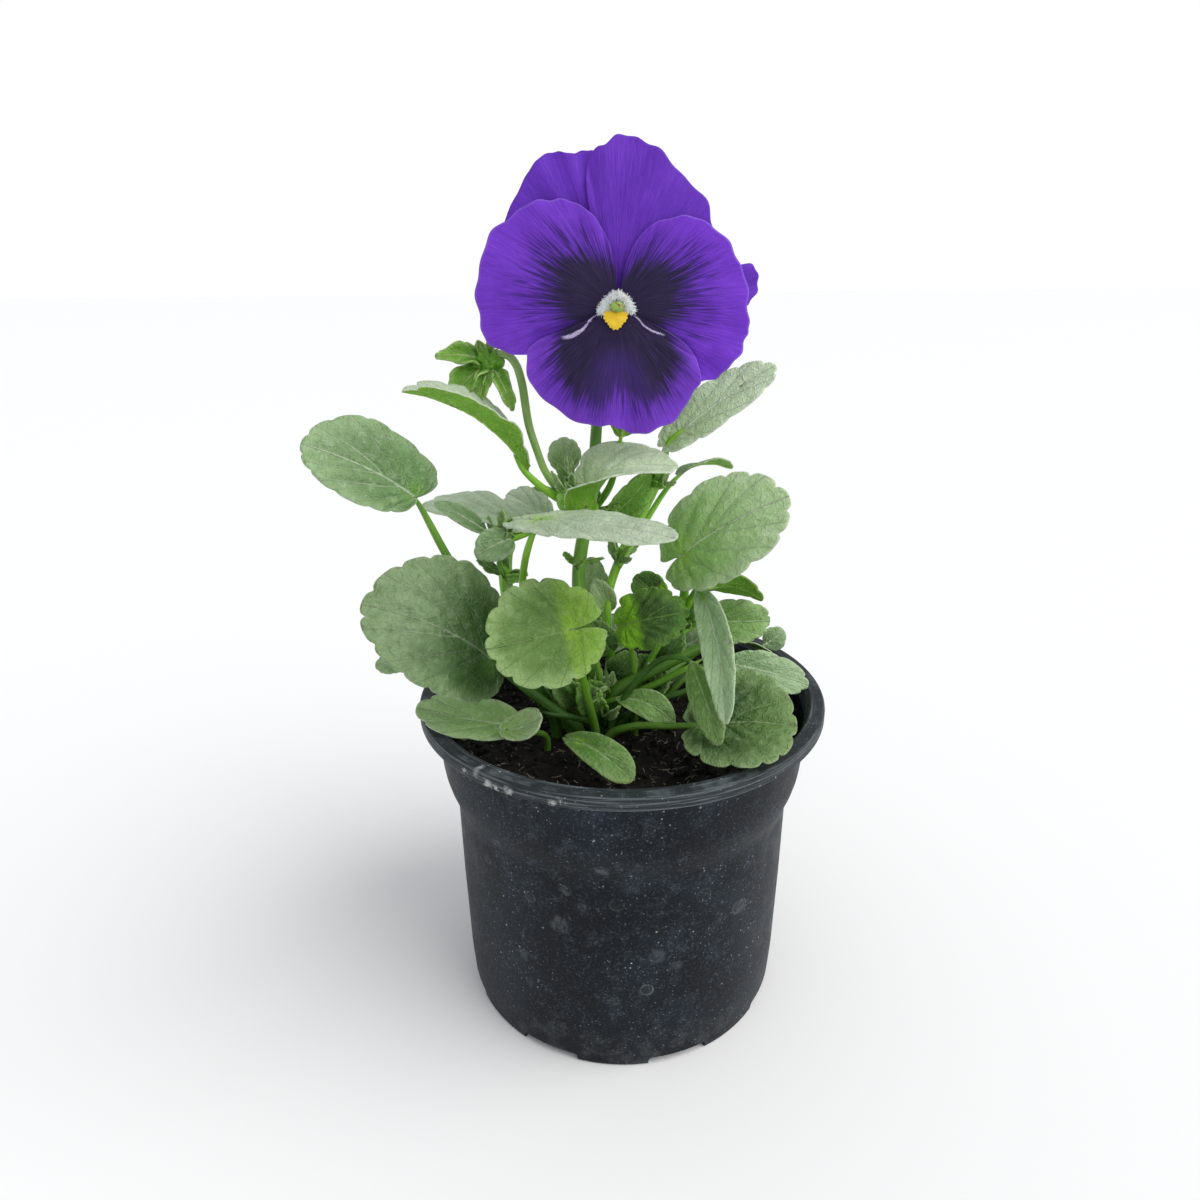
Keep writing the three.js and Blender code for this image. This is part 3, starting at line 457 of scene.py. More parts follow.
def clods(x, y):
    """Lumps and pits of the mix, from a few millimetres down to a grain."""
    lumps = noise.fractal(Vector((x * 0.22, y * 0.22, 3)), 0.9, 2.1, 4)
    pits = abs(noise.noise(Vector((x * 0.55, y * 0.55, 9))))
    return 0.75 * lumps - 1.1 * max(0.25 - pits, 0)


top_rows = 96
side_profile = [(53.3, 84), (52.8, 78), (49.2, 65), (48.9, 40), (48.4, 12), (47.6, 4.5), (0, 4.4)]
angles = np.linspace(0, 2 * np.pi, 241)
rings = []
for i in range(top_rows + 1):
    reach = SOIL_RADIUS * i / top_rows
    x, y = reach * np.cos(angles), reach * np.sin(angles)
    lift = np.array([clods(px, py) for px, py in zip(x, y)])
    rings.append(np.stack([x, y, ground_height(x, y) + lift], axis=1))
for reach, height in side_profile:
    x, y = reach * np.cos(angles), reach * np.sin(angles)
    rings.append(np.stack([x, y, np.full_like(angles, height)], axis=1))
for ring in rings:
    ring[-1] = ring[0]
soil = laid_grid("potting_mix", np.array(rings))
sew(soil)
bpy.ops.object.mode_set(mode="EDIT")
bpy.ops.mesh.select_all(action="SELECT")
bpy.ops.mesh.normals_make_consistent(inside=False)
bpy.ops.object.mode_set(mode="OBJECT")
bpy.ops.object.shade_smooth()

soil_mix, tree, shader, place = new_finish("soil_mix", 0.85, Specular_IOR_Level=0.25)
lumps = grain(tree, place, 350, 6, 0.7)
grit = grain(tree, place, 2200, 4, 0.7)
tint = blend(tree, ease(tree, lumps, 0.4, 0.75), paint("#0a0908"), paint("#211b15"))
tint = coat(tree, ease(tree, grit, 0.56, 0.76, 0, 0.6), tint, "#4c3c2c")
tint = coat(tree, times(tree, specks(tree, 2.2, 0.45, 0.3), 0.8), tint, "#a39a88")
tree.links.new(tint, shader.inputs["Base Color"])
relief(tree, shader, calc(tree, "ADD", lumps, times(tree, grit, 0.7)), 0.5 * MM)
soil.data.materials.append(soil_mix)
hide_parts("soil")
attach(soil, "root")


def scatter(name, model, placements):
    """One mesh of many copies of a small model, each set by a matrix; the model is then removed."""
    count = len(model.data.vertices)
    corners = np.array([[*v.co, 1] for v in model.data.vertices])
    faces = [tuple(p.vertices) for p in model.data.polygons]
    places, all_faces = [], []
    for k, placement in enumerate(placements):
        places.append((corners @ np.array(placement).T)[:, :3])
        all_faces += [tuple(i + k * count for i in face) for face in faces]
    mesh = bpy.data.meshes.new(name)
    mesh.from_pydata(np.concatenate(places).tolist(), [], all_faces)
    bpy.data.objects.remove(model)
    copies = bpy.data.objects.new(name, mesh)
    bpy.context.scene.collection.objects.link(copies)
    return copies


def ground_spot(draw, spread=52):
    """A place drawn on the soil, in millimetres."""
    reach, angle = spread * math.sqrt(draw.random()), draw.uniform(0, 2 * math.pi)
    x, y = reach * math.cos(angle), reach * math.sin(angle)
    return x, y, float(ground_height(x, y)) + clods(x, y)


crumb_count, fibre_count = 2300, 700
draw = random.Random(11)
bpy.ops.object.select_all(action="DESELECT")
bpy.ops.mesh.primitive_ico_sphere_add(subdivisions=1, radius=1)
crumb = bpy.context.object
for corner in crumb.data.vertices:
    corner.co *= draw.uniform(0.72, 1.25)
crumb_places = []
for _ in range(crumb_count):
    x, y, z = ground_spot(draw, 52.4)
    size = 0.26 + 1.15 * draw.random() ** 3
    turn = Euler([draw.uniform(0, 6.28) for _ in range(3)]).to_matrix().to_4x4()
    stretch = Matrix.Diagonal((size, size * draw.uniform(0.6, 1), size * draw.uniform(0.5, 0.9), 1))
    crumb_places.append(Matrix.Scale(MM, 4) @ Matrix.Translation((x, y, z + 0.2 * size)) @ turn @ stretch)
crumbs = scatter("soil_crumbs", crumb, crumb_places)
crumbs.data.materials.append(soil_mix)
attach(crumbs, "root")

fibre_finish, tree, shader, place = new_finish("peat_fibre", 0.7)
tone = grain(tree, place, 260, 2)
tint = blend(tree, ease(tree, tone, 0.35, 0.7), paint("#3b332a"), paint("#968a7a"))
tree.links.new(tint, shader.inputs["Base Color"])
relief(tree, shader, grain(tree, place, 3000, 2), 0.05 * MM)
bpy.ops.object.select_all(action="DESELECT")
bpy.ops.mesh.primitive_cylinder_add(vertices=4, radius=1, depth=2, end_fill_type="TRIFAN")
fibre = bpy.context.object
bpy.ops.object.mode_set(mode="EDIT")
bpy.ops.mesh.select_all(action="SELECT")
bpy.ops.mesh.bisect(plane_co=(0, 0, 0.3), plane_no=(0, 0, 1))
bpy.ops.mesh.select_all(action="SELECT")
bpy.ops.mesh.bisect(plane_co=(0, 0, -0.3), plane_no=(0, 0, 1))
bpy.ops.object.mode_set(mode="OBJECT")
for corner in fibre.data.vertices:
    corner.co.x += 2.6 * (corner.co.z ** 2 - 0.5)
fibre_places = []
for _ in range(fibre_count):
    x, y, z = ground_spot(draw, 51.5)
    length, thick = draw.uniform(0.3, 1.7), draw.uniform(0.06, 0.2)
    turn = Euler((math.pi / 2 + draw.uniform(-0.35, 0.35), 0, draw.uniform(0, 6.28))).to_matrix().to_4x4()
    stretch = Matrix.Diagonal((thick, thick, length, 1))
    fibre_places.append(Matrix.Scale(MM, 4) @ Matrix.Translation((x, y, z + 0.25)) @ turn @ stretch)
fibres = scatter("soil_fibres", fibre, fibre_places)
fibres.data.materials.append(fibre_finish)
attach(fibres, "root")

# ---- Leaves ----
# Spoon-shaped pansy leaves with rounded teeth. A vein runs out to each tooth, the blade puffs up a
# little between the veins, and the underside is a brighter yellow-green than the matt upper face,
# partly its own colour and partly painted light against the shade beneath the blades.

# Where along the outline the teeth start and the neck ends, then the blade's thickness, here and in
# the solids.
FIRST_NOTCH, NECK = 0.12, 0.07
BLADE_THICKNESS, CAD_BLADE = 0.45, 0.7


def unit(vector):
    return vector / np.linalg.norm(vector)


def leaf_axes(leaf):
    """The leaf's own axes: along the midrib, across it, and out of its upper face."""
    base, tip = np.array(leaf["base"], float), np.array(leaf["tip"], float)
    along = unit(tip - base)
    face = np.array(leaf["faces"], float)
    face = unit(face - along * face.dot(along))
    return base, along, np.cross(face, along), face, np.linalg.norm(tip - base)


def tooth_run(u, leaf, side):
    """How far round the toothed stretch of the edge a place is; the teeth are a little uneven."""
    toothed = (u - FIRST_NOTCH) / (1 - FIRST_NOTCH)
    shift = leaf["tip"][0] * 0.7 + side
    return toothed + 0.034 * np.sin(2 * np.pi * 1.6 * toothed + shift) * (4 * toothed * (1 - toothed)).clip(0)


def leaf_outline(u, leaf, length, side):
    """Half of the outline at u, from 0 at the base round to 1 at the tip: an egg cut into teeth."""
    back = leaf.get("back", 0.1) * (1 + leaf.get("skew", 0) * side)
    widest, lobes = leaf.get("widest", 0.42), leaf.get("lobes", 5)
    shoulders = leaf.get("shoulders", (1, 1))
    tooth, taper = 0.85 * leaf.get("tooth", 0.1), leaf.get("taper", 1) * np.where(side > 0, *shoulders)
    angle = np.pi * (1 - u)
    c, s = np.cos(angle), np.sin(angle).clip(0)
    x = np.where(c > 0, widest + (1 - widest) * c, widest + (widest + back) * c) * length
    y = leaf["width"] / 2 * np.where(c > 0, s, s ** taper)
    valley = 1 - np.abs(np.sin(np.pi * (lobes - 0.5) * tooth_run(u, leaf, side).clip(0)))
    bite = 1 - tooth * (u / 0.25).clip(0, 1) * valley ** 2.6
    x = widest * length + (x - widest * length) * bite
    neck = 1 - (1 - u / NECK).clip(0, 1) ** 2 if leaf.get("back", 0.1) > 0 else 1
    return x * neck, y * bite * neck * (1 + leaf.get("lean", 0) * side)


def vein_foot(u, edge_x, leaf, length):
    """Where on the midrib the vein that runs out to a place on the edge starts."""
    least = np.clip(1 - 0.65 * leaf["width"] / length, 0.5, 0.84)
    return np.maximum(0, (1 - (1 - least) * (1.7 - 0.7 * u)) * edge_x)


def waves(x, y, seed, shortest, longest, count=7):
    """Seeded unevenness in about -1..1 from crossed waves; lengths in millimetres."""
    draw = random.Random(seed)
    total = np.zeros_like(x)
    for _ in range(count):
        angle, length = draw.uniform(0, 2 * math.pi), draw.uniform(shortest, longest)
        step = 2 * math.pi / length
        total += np.sin(step * (x * math.cos(angle) + y * math.sin(angle)) + draw.uniform(0, 6.28))
    return total / math.sqrt(count) / 1.4


def blade_places(leaf, u, v, puffed=1.0, seed=0):
    """Corners of the blade's upper face for u along the outline and v across, -1 to 1, and the
    numbers that its finish reads: veins (which vein, spacing, distance to the midrib) and lay
    (share of the length, share of the way to the edge, distance to the edge)."""
    base, along, across, face, length = leaf_axes(leaf)
    half_width = leaf["width"] / 2
    r, side = np.abs(v), np.sign(v)
    edge_x, edge_y = leaf_outline(u, leaf, length, side)
    even_leaf = dict(leaf, skew=0)
    rib_x = vein_foot(u, leaf_outline(u, even_leaf, length, side)[0], leaf, length)
    x, y = rib_x + r * (edge_x - rib_x), r * edge_y
    share = x / length
    arc = 4 * share * (1 - share)
    reach = np.hypot(x, y) / length
    z = leaf.get("arch", 0.05) * length * arc
    closing = 1 - math.exp(-3)
    z = z + leaf.get("funnel", 0) * length * (1 - np.exp(-3 * reach) - closing * np.maximum(share, 0))
    ripple = np.sin(5 * np.pi * u + side * 1.3 + leaf.get("phase", 0))
    z = z + leaf.get("wave", 0.03) * half_width * r * r * 4 * u * (1 - u) * ripple
    ribs = max(leaf.get("lobes", 5), 5) - 0.5
    vein = ribs * tooth_run(u, leaf, side) - 0.5 + 1.35 * (1 - r) ** 1.3 * (1 - u ** 3)
    fold = math.radians(leaf.get("fold", 8))
    cupped, cup = leaf.get("cup", (1, 0))
    tilt = fold + math.radians(cup) * (side == cupped) * (1 - 0.4 * share.clip(0, 1))
    sideways = side * y * np.cos(tilt) + np.where(x > 0, leaf.get("sweep", 0) * length * arc, 0)
    up = z / math.cos(fold) + y * np.sin(tilt)
    places = base + along * x[..., None] + across * sideways[..., None] + face * up[..., None]
    step = 0.004
    next_x, next_y = leaf_outline((u + step).clip(0, 1), leaf, length, side)
    next_even = leaf_outline((u + step).clip(0, 1), even_leaf, length, side)[0]
    next_rib = vein_foot(u + step, next_even, leaf, length)
    move_x = next_rib + r * (next_x - next_rib) - x
    move_y = r * next_y - y
    ray_x, ray_y = edge_x - rib_x, edge_y
    spacing = np.abs(move_x * ray_y - move_y * ray_x) / np.maximum(np.hypot(ray_x, ray_y), 0.2)
    spacing = spacing / step * (1 - FIRST_NOTCH) / ribs
    veins = np.stack([vein, spacing, y], axis=-1)
    if puffed:
        scale = puffed * min(1, leaf["width"] / 24)
        off = np.abs(vein - np.round(vein))
        furrow = np.exp(-((off * spacing / 0.55) ** 2)) * (1 - 0.55 * r) * (vein > -0.4)
        between = np.sin(np.pi * off) * np.sin(np.pi * r.clip(0.02, 1) ** 0.75) * (vein > -0.5)
        between = between * (1 - np.exp(-((y / 1.6) ** 2)))
        groove = np.exp(-((y / 0.8) ** 2)) * (1 - 0.6 * share.clip(0, 1))
        bumps = 0.62 * between - 0.08 * furrow - 0.2 * groove
        bumps = bumps + 0.1 * waves(x, side * y, seed, 1.8, 4) + 0.22 * waves(x, side * y, seed + 1, 7, 16)
        frill = waves(x, side * y, seed + 2, 5, 9) * r ** 3
        places = places + face * (scale * bumps + leaf.get("frill", 0.25) * frill)[..., None]
    margin = (1 - r) * np.hypot(ray_x, ray_y)
    lay = np.stack([share, r * side, margin], axis=-1)
    return places, veins, lay


def leaf_blade(name, leaf, upper, under, puffed=1.0):
    """A blade as a closed thin solid, with its own finish on each face."""
    length = leaf_axes(leaf)[4]
    rim_length = length * (1 + leaf.get("back", 0.1)) + 0.6 * leaf["width"]
    columns = int(np.clip(rim_length / 0.45, 20, 150))
    rows = 2 * int(np.clip(leaf["width"] / 1.1, 4, 34))
    u, v = np.meshgrid(np.linspace(0, 1, columns + 1), np.linspace(-1, 1, rows + 1))
    places, veins, lay = blade_places(leaf, u, v, puffed, seed=sum(ord(letter) for letter in name))
    blade = laid_grid(name, places)
    record_on(blade, "veins", veins)
    record_on(blade, "lay", lay)
    blade.data.materials.append(upper)
    blade.data.materials.append(under)
    sew(blade, 0.012)
    bpy.ops.object.shade_smooth()
    wall = blade.modifiers.new("wall", "SOLIDIFY")
    wall.thickness = BLADE_THICKNESS * MM
    wall.offset = -1
    wall.material_offset = 1
    wall.material_offset_rim = 0
    bpy.ops.object.modifier_apply(modifier="wall")
    return blade


def smooth_path(points, step):
    """A smooth curve through the points, resampled at even steps in millimetres."""
    p = np.array(points, float)
    p = np.vstack([2 * p[0] - p[1], p, 2 * p[-1] - p[-2]])
    fine = []
    for a, b, c, d in zip(p, p[1:], p[2:], p[3:]):
        ta, tb, tc = [math.sqrt(max(np.linalg.norm(w), 1e-3)) for w in (b - a, c - b, d - c)]
        leave = ((b - a) / ta - (c - a) / (ta + tb) + (c - b) / tb) * tb
        arrive = ((c - b) / tb - (d - b) / (tb + tc) + (d - c) / tc) * tb
        for t in np.linspace(0, 1, 24, endpoint=False):
            cubic = (2 * b - 2 * c + leave + arrive) * t ** 3
            fine.append(cubic + (-3 * b + 3 * c - 2 * leave - arrive) * t ** 2 + leave * t + b)
    fine.append(p[-2])
    fine = np.array(fine)
    run = np.concatenate([[0], np.cumsum(np.linalg.norm(np.diff(fine, axis=0), axis=1))])
    even = np.linspace(0, run[-1], max(6, int(run[-1] / step)) + 1)
    return np.stack([np.interp(even, run, fine[:, k]) for k in range(3)], axis=1), even


def stalk(name, points, radius, end_radius, finish, ribs=0.05, joints=(), sides=12, point_end=True):
    """A stem or leaf stalk along a smooth curve, ribbed, with a swelling near each joint's height."""
    line, run = smooth_path(points, 0.7)
    share = run / run[-1]
    thickness = radius + (end_radius - radius) * share
    for height, swell in joints:
        thickness = thickness * (1 + swell * np.exp(-(((line[:, 2] - height) / 2.4) ** 2)))
    if point_end:
        thickness = thickness * (1 - 0.85 * ((share - 0.82) / 0.18).clip(0, 1) ** 2)
    tangents = np.gradient(line, axis=0)
    tangents /= np.linalg.norm(tangents, axis=1)[:, None]
    side = unit(np.cross(tangents[0], (0.3, 0.9, 0.1)))
    around = np.linspace(0, 2 * np.pi, sides + 1)
    rings, marks = [], []
    for centre, tangent, r, far in zip(line, tangents, thickness, run):
        side = unit(side - tangent * side.dot(tangent))
        third = np.cross(tangent, side)
        uneven = r * (1 + ribs * np.cos(4 * around) + 0.03 * np.sin(2 * around + far * 0.2))
        ring = centre + uneven[:, None] * (np.cos(around)[:, None] * side + np.sin(around)[:, None] * third)
        rings.append(ring)
        marks.append(np.stack([around, np.full_like(around, far), np.full_like(around, r)], axis=1))
    rings = [np.repeat(line[:1], sides + 1, axis=0), *rings, np.repeat(line[-1:], sides + 1, axis=0)]
    marks = [marks[0], *marks, marks[-1]]
    tube = laid_grid(name, np.array(rings))
    record_on(tube, "run", np.array(marks))
    tube.data.materials.append(finish)
    sew(tube, 0.005)
    bpy.ops.object.mode_set(mode="EDIT")
    bpy.ops.mesh.select_all(action="SELECT")
    bpy.ops.mesh.normals_make_consistent(inside=False)
    bpy.ops.object.mode_set(mode="OBJECT")
    bpy.ops.object.shade_smooth()
    return tube


def joined(name, pieces):
    """Several pieces as one object with one mesh."""
    bpy.ops.object.select_all(action="DESELECT")
    for part in pieces:
        part.select_set(True)
    bpy.context.view_layer.objects.active = pieces[0]
    if len(pieces) > 1:
        bpy.ops.object.join()
    whole = bpy.context.object
    whole.name = name
    return whole


def recorded(tree, name):
    """The three numbers stored on a mesh's corners under a name."""
    return split(tree, add(tree, "ShaderNodeAttribute", attribute_name=name).outputs["Vector"])


def vein_marks():
    """A node group: where a leaf's midrib, its side veins and its fine net of veins lie."""
    group, (vein_width,), place = new_group("vein_marks", ("Vein Width",))
    number, spacing, from_midrib = recorded(group, "veins")
    share, across, _ = recorded(group, "lay")
    out = calc(group, "ABSOLUTE", across)
    which = stray(group, number, grain(group, place, 220, 2), 0.1)
    off = calc(group, "ABSOLUTE", calc(group, "SUBTRACT", which, calc(group, "ROUND", which)))
    width = times(group, vein_width, calc(group, "MULTIPLY_ADD", out, -0.6, 1.1))
    side = calc(group, "SUBTRACT", 1, ease(group, times(group, off, spacing), 0, width))
    side = times(group, side, ease(group, which, -0.6, -0.3))
    rib = times(group, 0.6, calc(group, "MULTIPLY_ADD", share, -0.7, 1))
    middle = calc(group, "SUBTRACT", 1, ease(group, from_midrib, 0, rib))
    cells = {"Vector": place, "Scale": 620.0}
    cells = add(group, "ShaderNodeTexVoronoi", cells, feature="DISTANCE_TO_EDGE").outputs["Distance"]
    net = calc(group, "SUBTRACT", 1, ease(group, cells, 0, 0.16))
    put_out(group, Midrib=middle, Side_Veins=side, Net=net)
    return group


VEINS = vein_marks()


def leaf_surface():
    """A node group: a leaf's colour, roughness and relief. Its colour goes from base to tip, with
    another along the edge; its veins are paler, and a painted glow, as of light shining through, lies behind
    its base."""
    colours = ("Base", "Tip", "Edge", "Vein", "Painted Glow")
    numbers = ("Vein Width", "Strength", "Behind", "Lit To")
    group, given, place = new_group("leaf_surface", numbers, colours)
    base, tip, edge, vein, painted_glow, vein_width, strength, behind, lit_to = given
    marks = add(group, "ShaderNodeGroup", {"Vein Width": vein_width}, node_tree=VEINS).outputs
    share, across, margin = recorded(group, "lay")
    out = calc(group, "ABSOLUTE", across)
    cloud = grain(group, place, 95, 4, 0.6)
    speckle = grain(group, place, 1500, 3, 0.65)
    crinkle = grain(group, place, 430, 4, 0.62, 0.4)
    along = stray(group, share, cloud, 0.5)
    tint = blend(group, ease(group, along, 0.15, 0.9), base, tip)
    tint = blend(group, ease(group, out, 0.6, 1.0, 0, 0.75), tint, edge)
    # Painted light: a glow, as of light shining through the blade, near its base and behind its lobes.
    painted_glow_at_base = times(group, ease(group, share, 0.16, -0.02), ease(group, out, 0.6, 0.1), 0.8)
    painted_glow_behind_lobes = times(group, ease(group, along, lit_to, calc(group, "SUBTRACT", lit_to, 0.22)), behind)
    tint = blend(group, calc(group, "MAXIMUM", painted_glow_at_base, painted_glow_behind_lobes), tint, painted_glow)
    shade = calc(group, "MULTIPLY_ADD", cloud, 0.5, 0.75)
    shade = add(group, "ShaderNodeCombineColor", {0: shade, 1: shade, 2: shade}).outputs[0]
    tint = blend(group, 1.0, tint, shade, "MULTIPLY")
    for marking, most in (("Net", 0.16), ("Side Veins", 0.75), ("Midrib", 1.3)):
        seen = calc(group, "MINIMUM", times(group, strength, most), 1)
        tint = blend(group, times(group, marks[marking], seen), tint, vein)
    # A pale line along the margin, painted as a highlight with light shining through the thin edge.
    tint = blend(group, ease(group, margin, 0.45, 0.05, 0, 0.45), tint, vein)
    tint = blend(group, ease(group, speckle, 0.58, 0.8, 0, 0.14), tint, vein)
    # Painted highlight on the ridges of the crinkles and painted shade in their hollows, from the same noise
    # that raises them.
    tint = blend(group, ease(group, crinkle, 0.52, 0.7, 0, 0.3), tint, vein)
    tint = blend(group, ease(group, crinkle, 0.5, 0.3, 0, 0.4), tint, base)
    lines = calc(group, "ADD", marks["Side Veins"], marks["Midrib"])
    height = calc(group, "MULTIPLY_ADD", lines, 0.5, times(group, speckle, 0.5))
    height = calc(group, "MULTIPLY_ADD", marks["Net"], 0.3, height)
    height = calc(group, "MULTIPLY_ADD", crinkle, 1.9, height)
    put_out(group, Color=tint, Roughness=ease(group, cloud, 0.3, 0.7, 0.46, 0.62), Height=height)
    return group


LEAF_SURFACE = leaf_surface()


def clothe(tree, shader, surface, given, depth):
    """Gives a shader the colour, roughness and relief that a surface group puts out."""
    made = add(tree, "ShaderNodeGroup", given, node_tree=surface).outputs
    tree.links.new(made["Color"], shader.inputs["Base Color"])
    if "Roughness" in made:
        tree.links.new(made["Roughness"], shader.inputs["Roughness"])
    relief(tree, shader, made["Height"], depth * MM)


def leaf_finish(
    name, base, tip, edge, vein, painted_glow="#8fc03a", vein_width=0.3, strength=0.5, behind=0, lit_to=0.16
):
    """One kind of leaf face, from its colours; the rest are shares of the length or strengths."""
    constants = {"Subsurface_Weight": 0.12, "Subsurface_Scale": 0.001, "Specular_IOR_Level": 0.35}
    material, tree, shader, _ = new_finish(name, 0.52, Subsurface_Radius=(0.5, 1, 0.3), **constants)
    given = {"Base": paint(base), "Tip": paint(tip), "Edge": paint(edge), "Vein": paint(vein)}
    given.update({"Painted Glow": paint(painted_glow), "Vein Width": vein_width, "Strength": strength})
    given.update({"Behind": behind, "Lit To": lit_to})
    clothe(tree, shader, LEAF_SURFACE, given, 0.42)
    return material


# Each kind of leaf face: its colours at the base, tip and edge and of its veins, then what else it has.
# The pale grey-green of sage and pale is partly their own colour and partly a painted reflection of
# the sky; funnel and rim are lightened as painted light against the shade that falls on them; deep
# and lit are much darker at the base as painted shade near the soil; the painted glow is light shining
# through.
LEAF_KINDS = dict(
    sage=("#648850", "#86a273", "#8fac7c", "#bccdac", dict(strength=0.65, painted_glow="#6a9c28")),
    pale=("#a9bd9a", "#bccbb0", "#b6c7a8", "#ccd8c0", dict(strength=0.15)),
    funnel=("#aac490", "#c2d3b2", "#bacea8", "#dce8d0", {}),
    broad=("#84b05c", "#a8c590", "#b2ca9c", "#cbd8b8", dict(vein_width=0.24, painted_glow="#88bc30", behind=0.3)),
    deep=("#34591c", "#80976f", "#7a9464", "#9cae8e", dict(painted_glow="#5c8a28")),
    round=("#5a7e38", "#6a8a48", "#98b474", "#9ab478", dict(strength=0.2, painted_glow="#88b422", behind=0.5)),
    dark=(
        "#38581f", "#40622c", "#5c8a2c", "#7aa04c", dict(strength=0.6, painted_glow="#84be1e", behind=1, lit_to=0.34)
    ),
    dull=("#87a874", "#9cb88c", "#a8c094", "#bed0ac", dict(strength=0.6)),
    shade=("#4a7034", "#56803a", "#78984e", "#8fae6c", {}),
    fresh=("#568c22", "#689e34", "#88b654", "#a2c872", {}),
    lit=("#34521f", "#60803f", "#7e9a62", "#9cb284", dict(strength=0.4, painted_glow="#4f7c24")),
    clear=("#648f3e", "#7aa058", "#96b676", "#b0c894", dict(strength=0.45, painted_glow="#7cb02c")),
    rim=("#84a860", "#9cb880", "#a6be8c", "#bccdaa", {}),
    front=("#55802f", "#6a8c4c", "#7d9c5c", "#9cb47c", {}),
    calyx=("#4f8c10", "#74a634", "#a4c870", "#b4d084", dict(strength=0.6)),
)
LEAF_FINISHES = {
    kind: leaf_finish("leaf_" + kind, *colours, **more) for kind, (*colours, more) in LEAF_KINDS.items()
}
# The underside's bright yellow-green is partly its own colour and partly painted light, lightened against the
# shade beneath the blades.
UNDERSIDE = leaf_finish("leaf_underside", "#6ca624", "#7ab03c", "#84b83c", "#aed06c", strength=0.8)


def stem_surface():
    """A node group: a soft stem, watery green with pale lengthwise ribs, with painted shade that darkens it
    down in the crown.
    """
    group, (base, bright, streak), place = new_group("stem_surface", (), ("Base", "Bright", "Streak"))
    around, far, _ = recorded(group, "run")
    ribs = grain(group, vector_from(group, around, times(group, far, 0.035)), 2.6, 3, 0.6)
    tint = blend(group, ease(group, grain(group, place, 120, 3), 0.35, 0.7), base, bright)
    tint = blend(group, ease(group, ribs, 0.5, 0.72, 0, 0.55), tint, streak)
    # Painted shade: darker towards the soil, down in the crown.
    tint = coat(group, ease(group, split(group, place)[2], 0.13, 0.094, 0, 0.75), tint, "#2f5218")
    height = calc(group, "MULTIPLY_ADD", ribs, 1.8, grain(group, place, 1800, 2))
    put_out(group, Color=tint, Height=height)
    return group


STEM_SURFACE = stem_surface()


def stem_finish(name, base, bright, streak):
    """One kind of stem, from its colours."""
    constants = {"Subsurface_Weight": 0.15, "Subsurface_Scale": 0.0012, "Specular_IOR_Level": 0.4}
    material, tree, shader, _ = new_finish(name, 0.42, Subsurface_Radius=(0.5, 1, 0.2), **constants)
    given = {"Base": paint(base), "Bright": paint(bright), "Streak": paint(streak)}
    clothe(tree, shader, STEM_SURFACE, given, 0.16)
    return material


# Bright and thick are lightened as painted light against the shade in the middle of the plant and under the
# bloom; deep is darker as painted shade low in the crown.
STEM_FINISHES = dict(
    bright=stem_finish("stem_bright", "#6dab20", "#8cc43a", "#b0d668"),
    thick=stem_finish("stem_thick", "#4c7e1c", "#68992a", "#8cb84a"),
    deep=stem_finish("stem_deep", "#345f1a", "#4c7c26", "#729f42"),
    cup=stem_finish("stem_cup", "#4f8c12", "#72a830", "#a0c860"),
    grey=stem_finish("stem_grey", "#84aa52", "#98bc66", "#c2d8a0"),
)

# How deep a stem stands in the soil, and how far above and below the surface it runs straight.
ROOT_DEPTH, ROOT_STRAIGHT = 12, 4


def rooted(root):
    """The straight stretch of a stem where it stands in the soil."""
    heights = (SOIL_LEVEL - ROOT_DEPTH, SOIL_LEVEL - ROOT_STRAIGHT, SOIL_LEVEL + ROOT_STRAIGHT)
    return [(*root, height) for height in heights]


def leaf_with_stalk(name, leaf, start):
    """A blade and the stalk that carries it, which runs in under the midrib and tapers out there."""
    face = leaf_axes(leaf)[3]
    radius = leaf.get("stalk", 1)
    sunk = CAD_BLADE / 2 + radius * 0.6 * 0.55
    ends, _, _ = blade_places(leaf, np.array([0, 0.42]), np.zeros(2), puffed=0)
    path = [*start, *(ends - face * sunk)]
    skin = STEM_FINISHES[leaf.get("stem", "bright")]
    carrier = stalk(name + "_stalk", path, radius * 1.15, radius * 0.6, skin)
    return [leaf_blade(name, leaf, LEAF_FINISHES[leaf["finish"]], UNDERSIDE, leaf.get("puff", 1)), carrier]


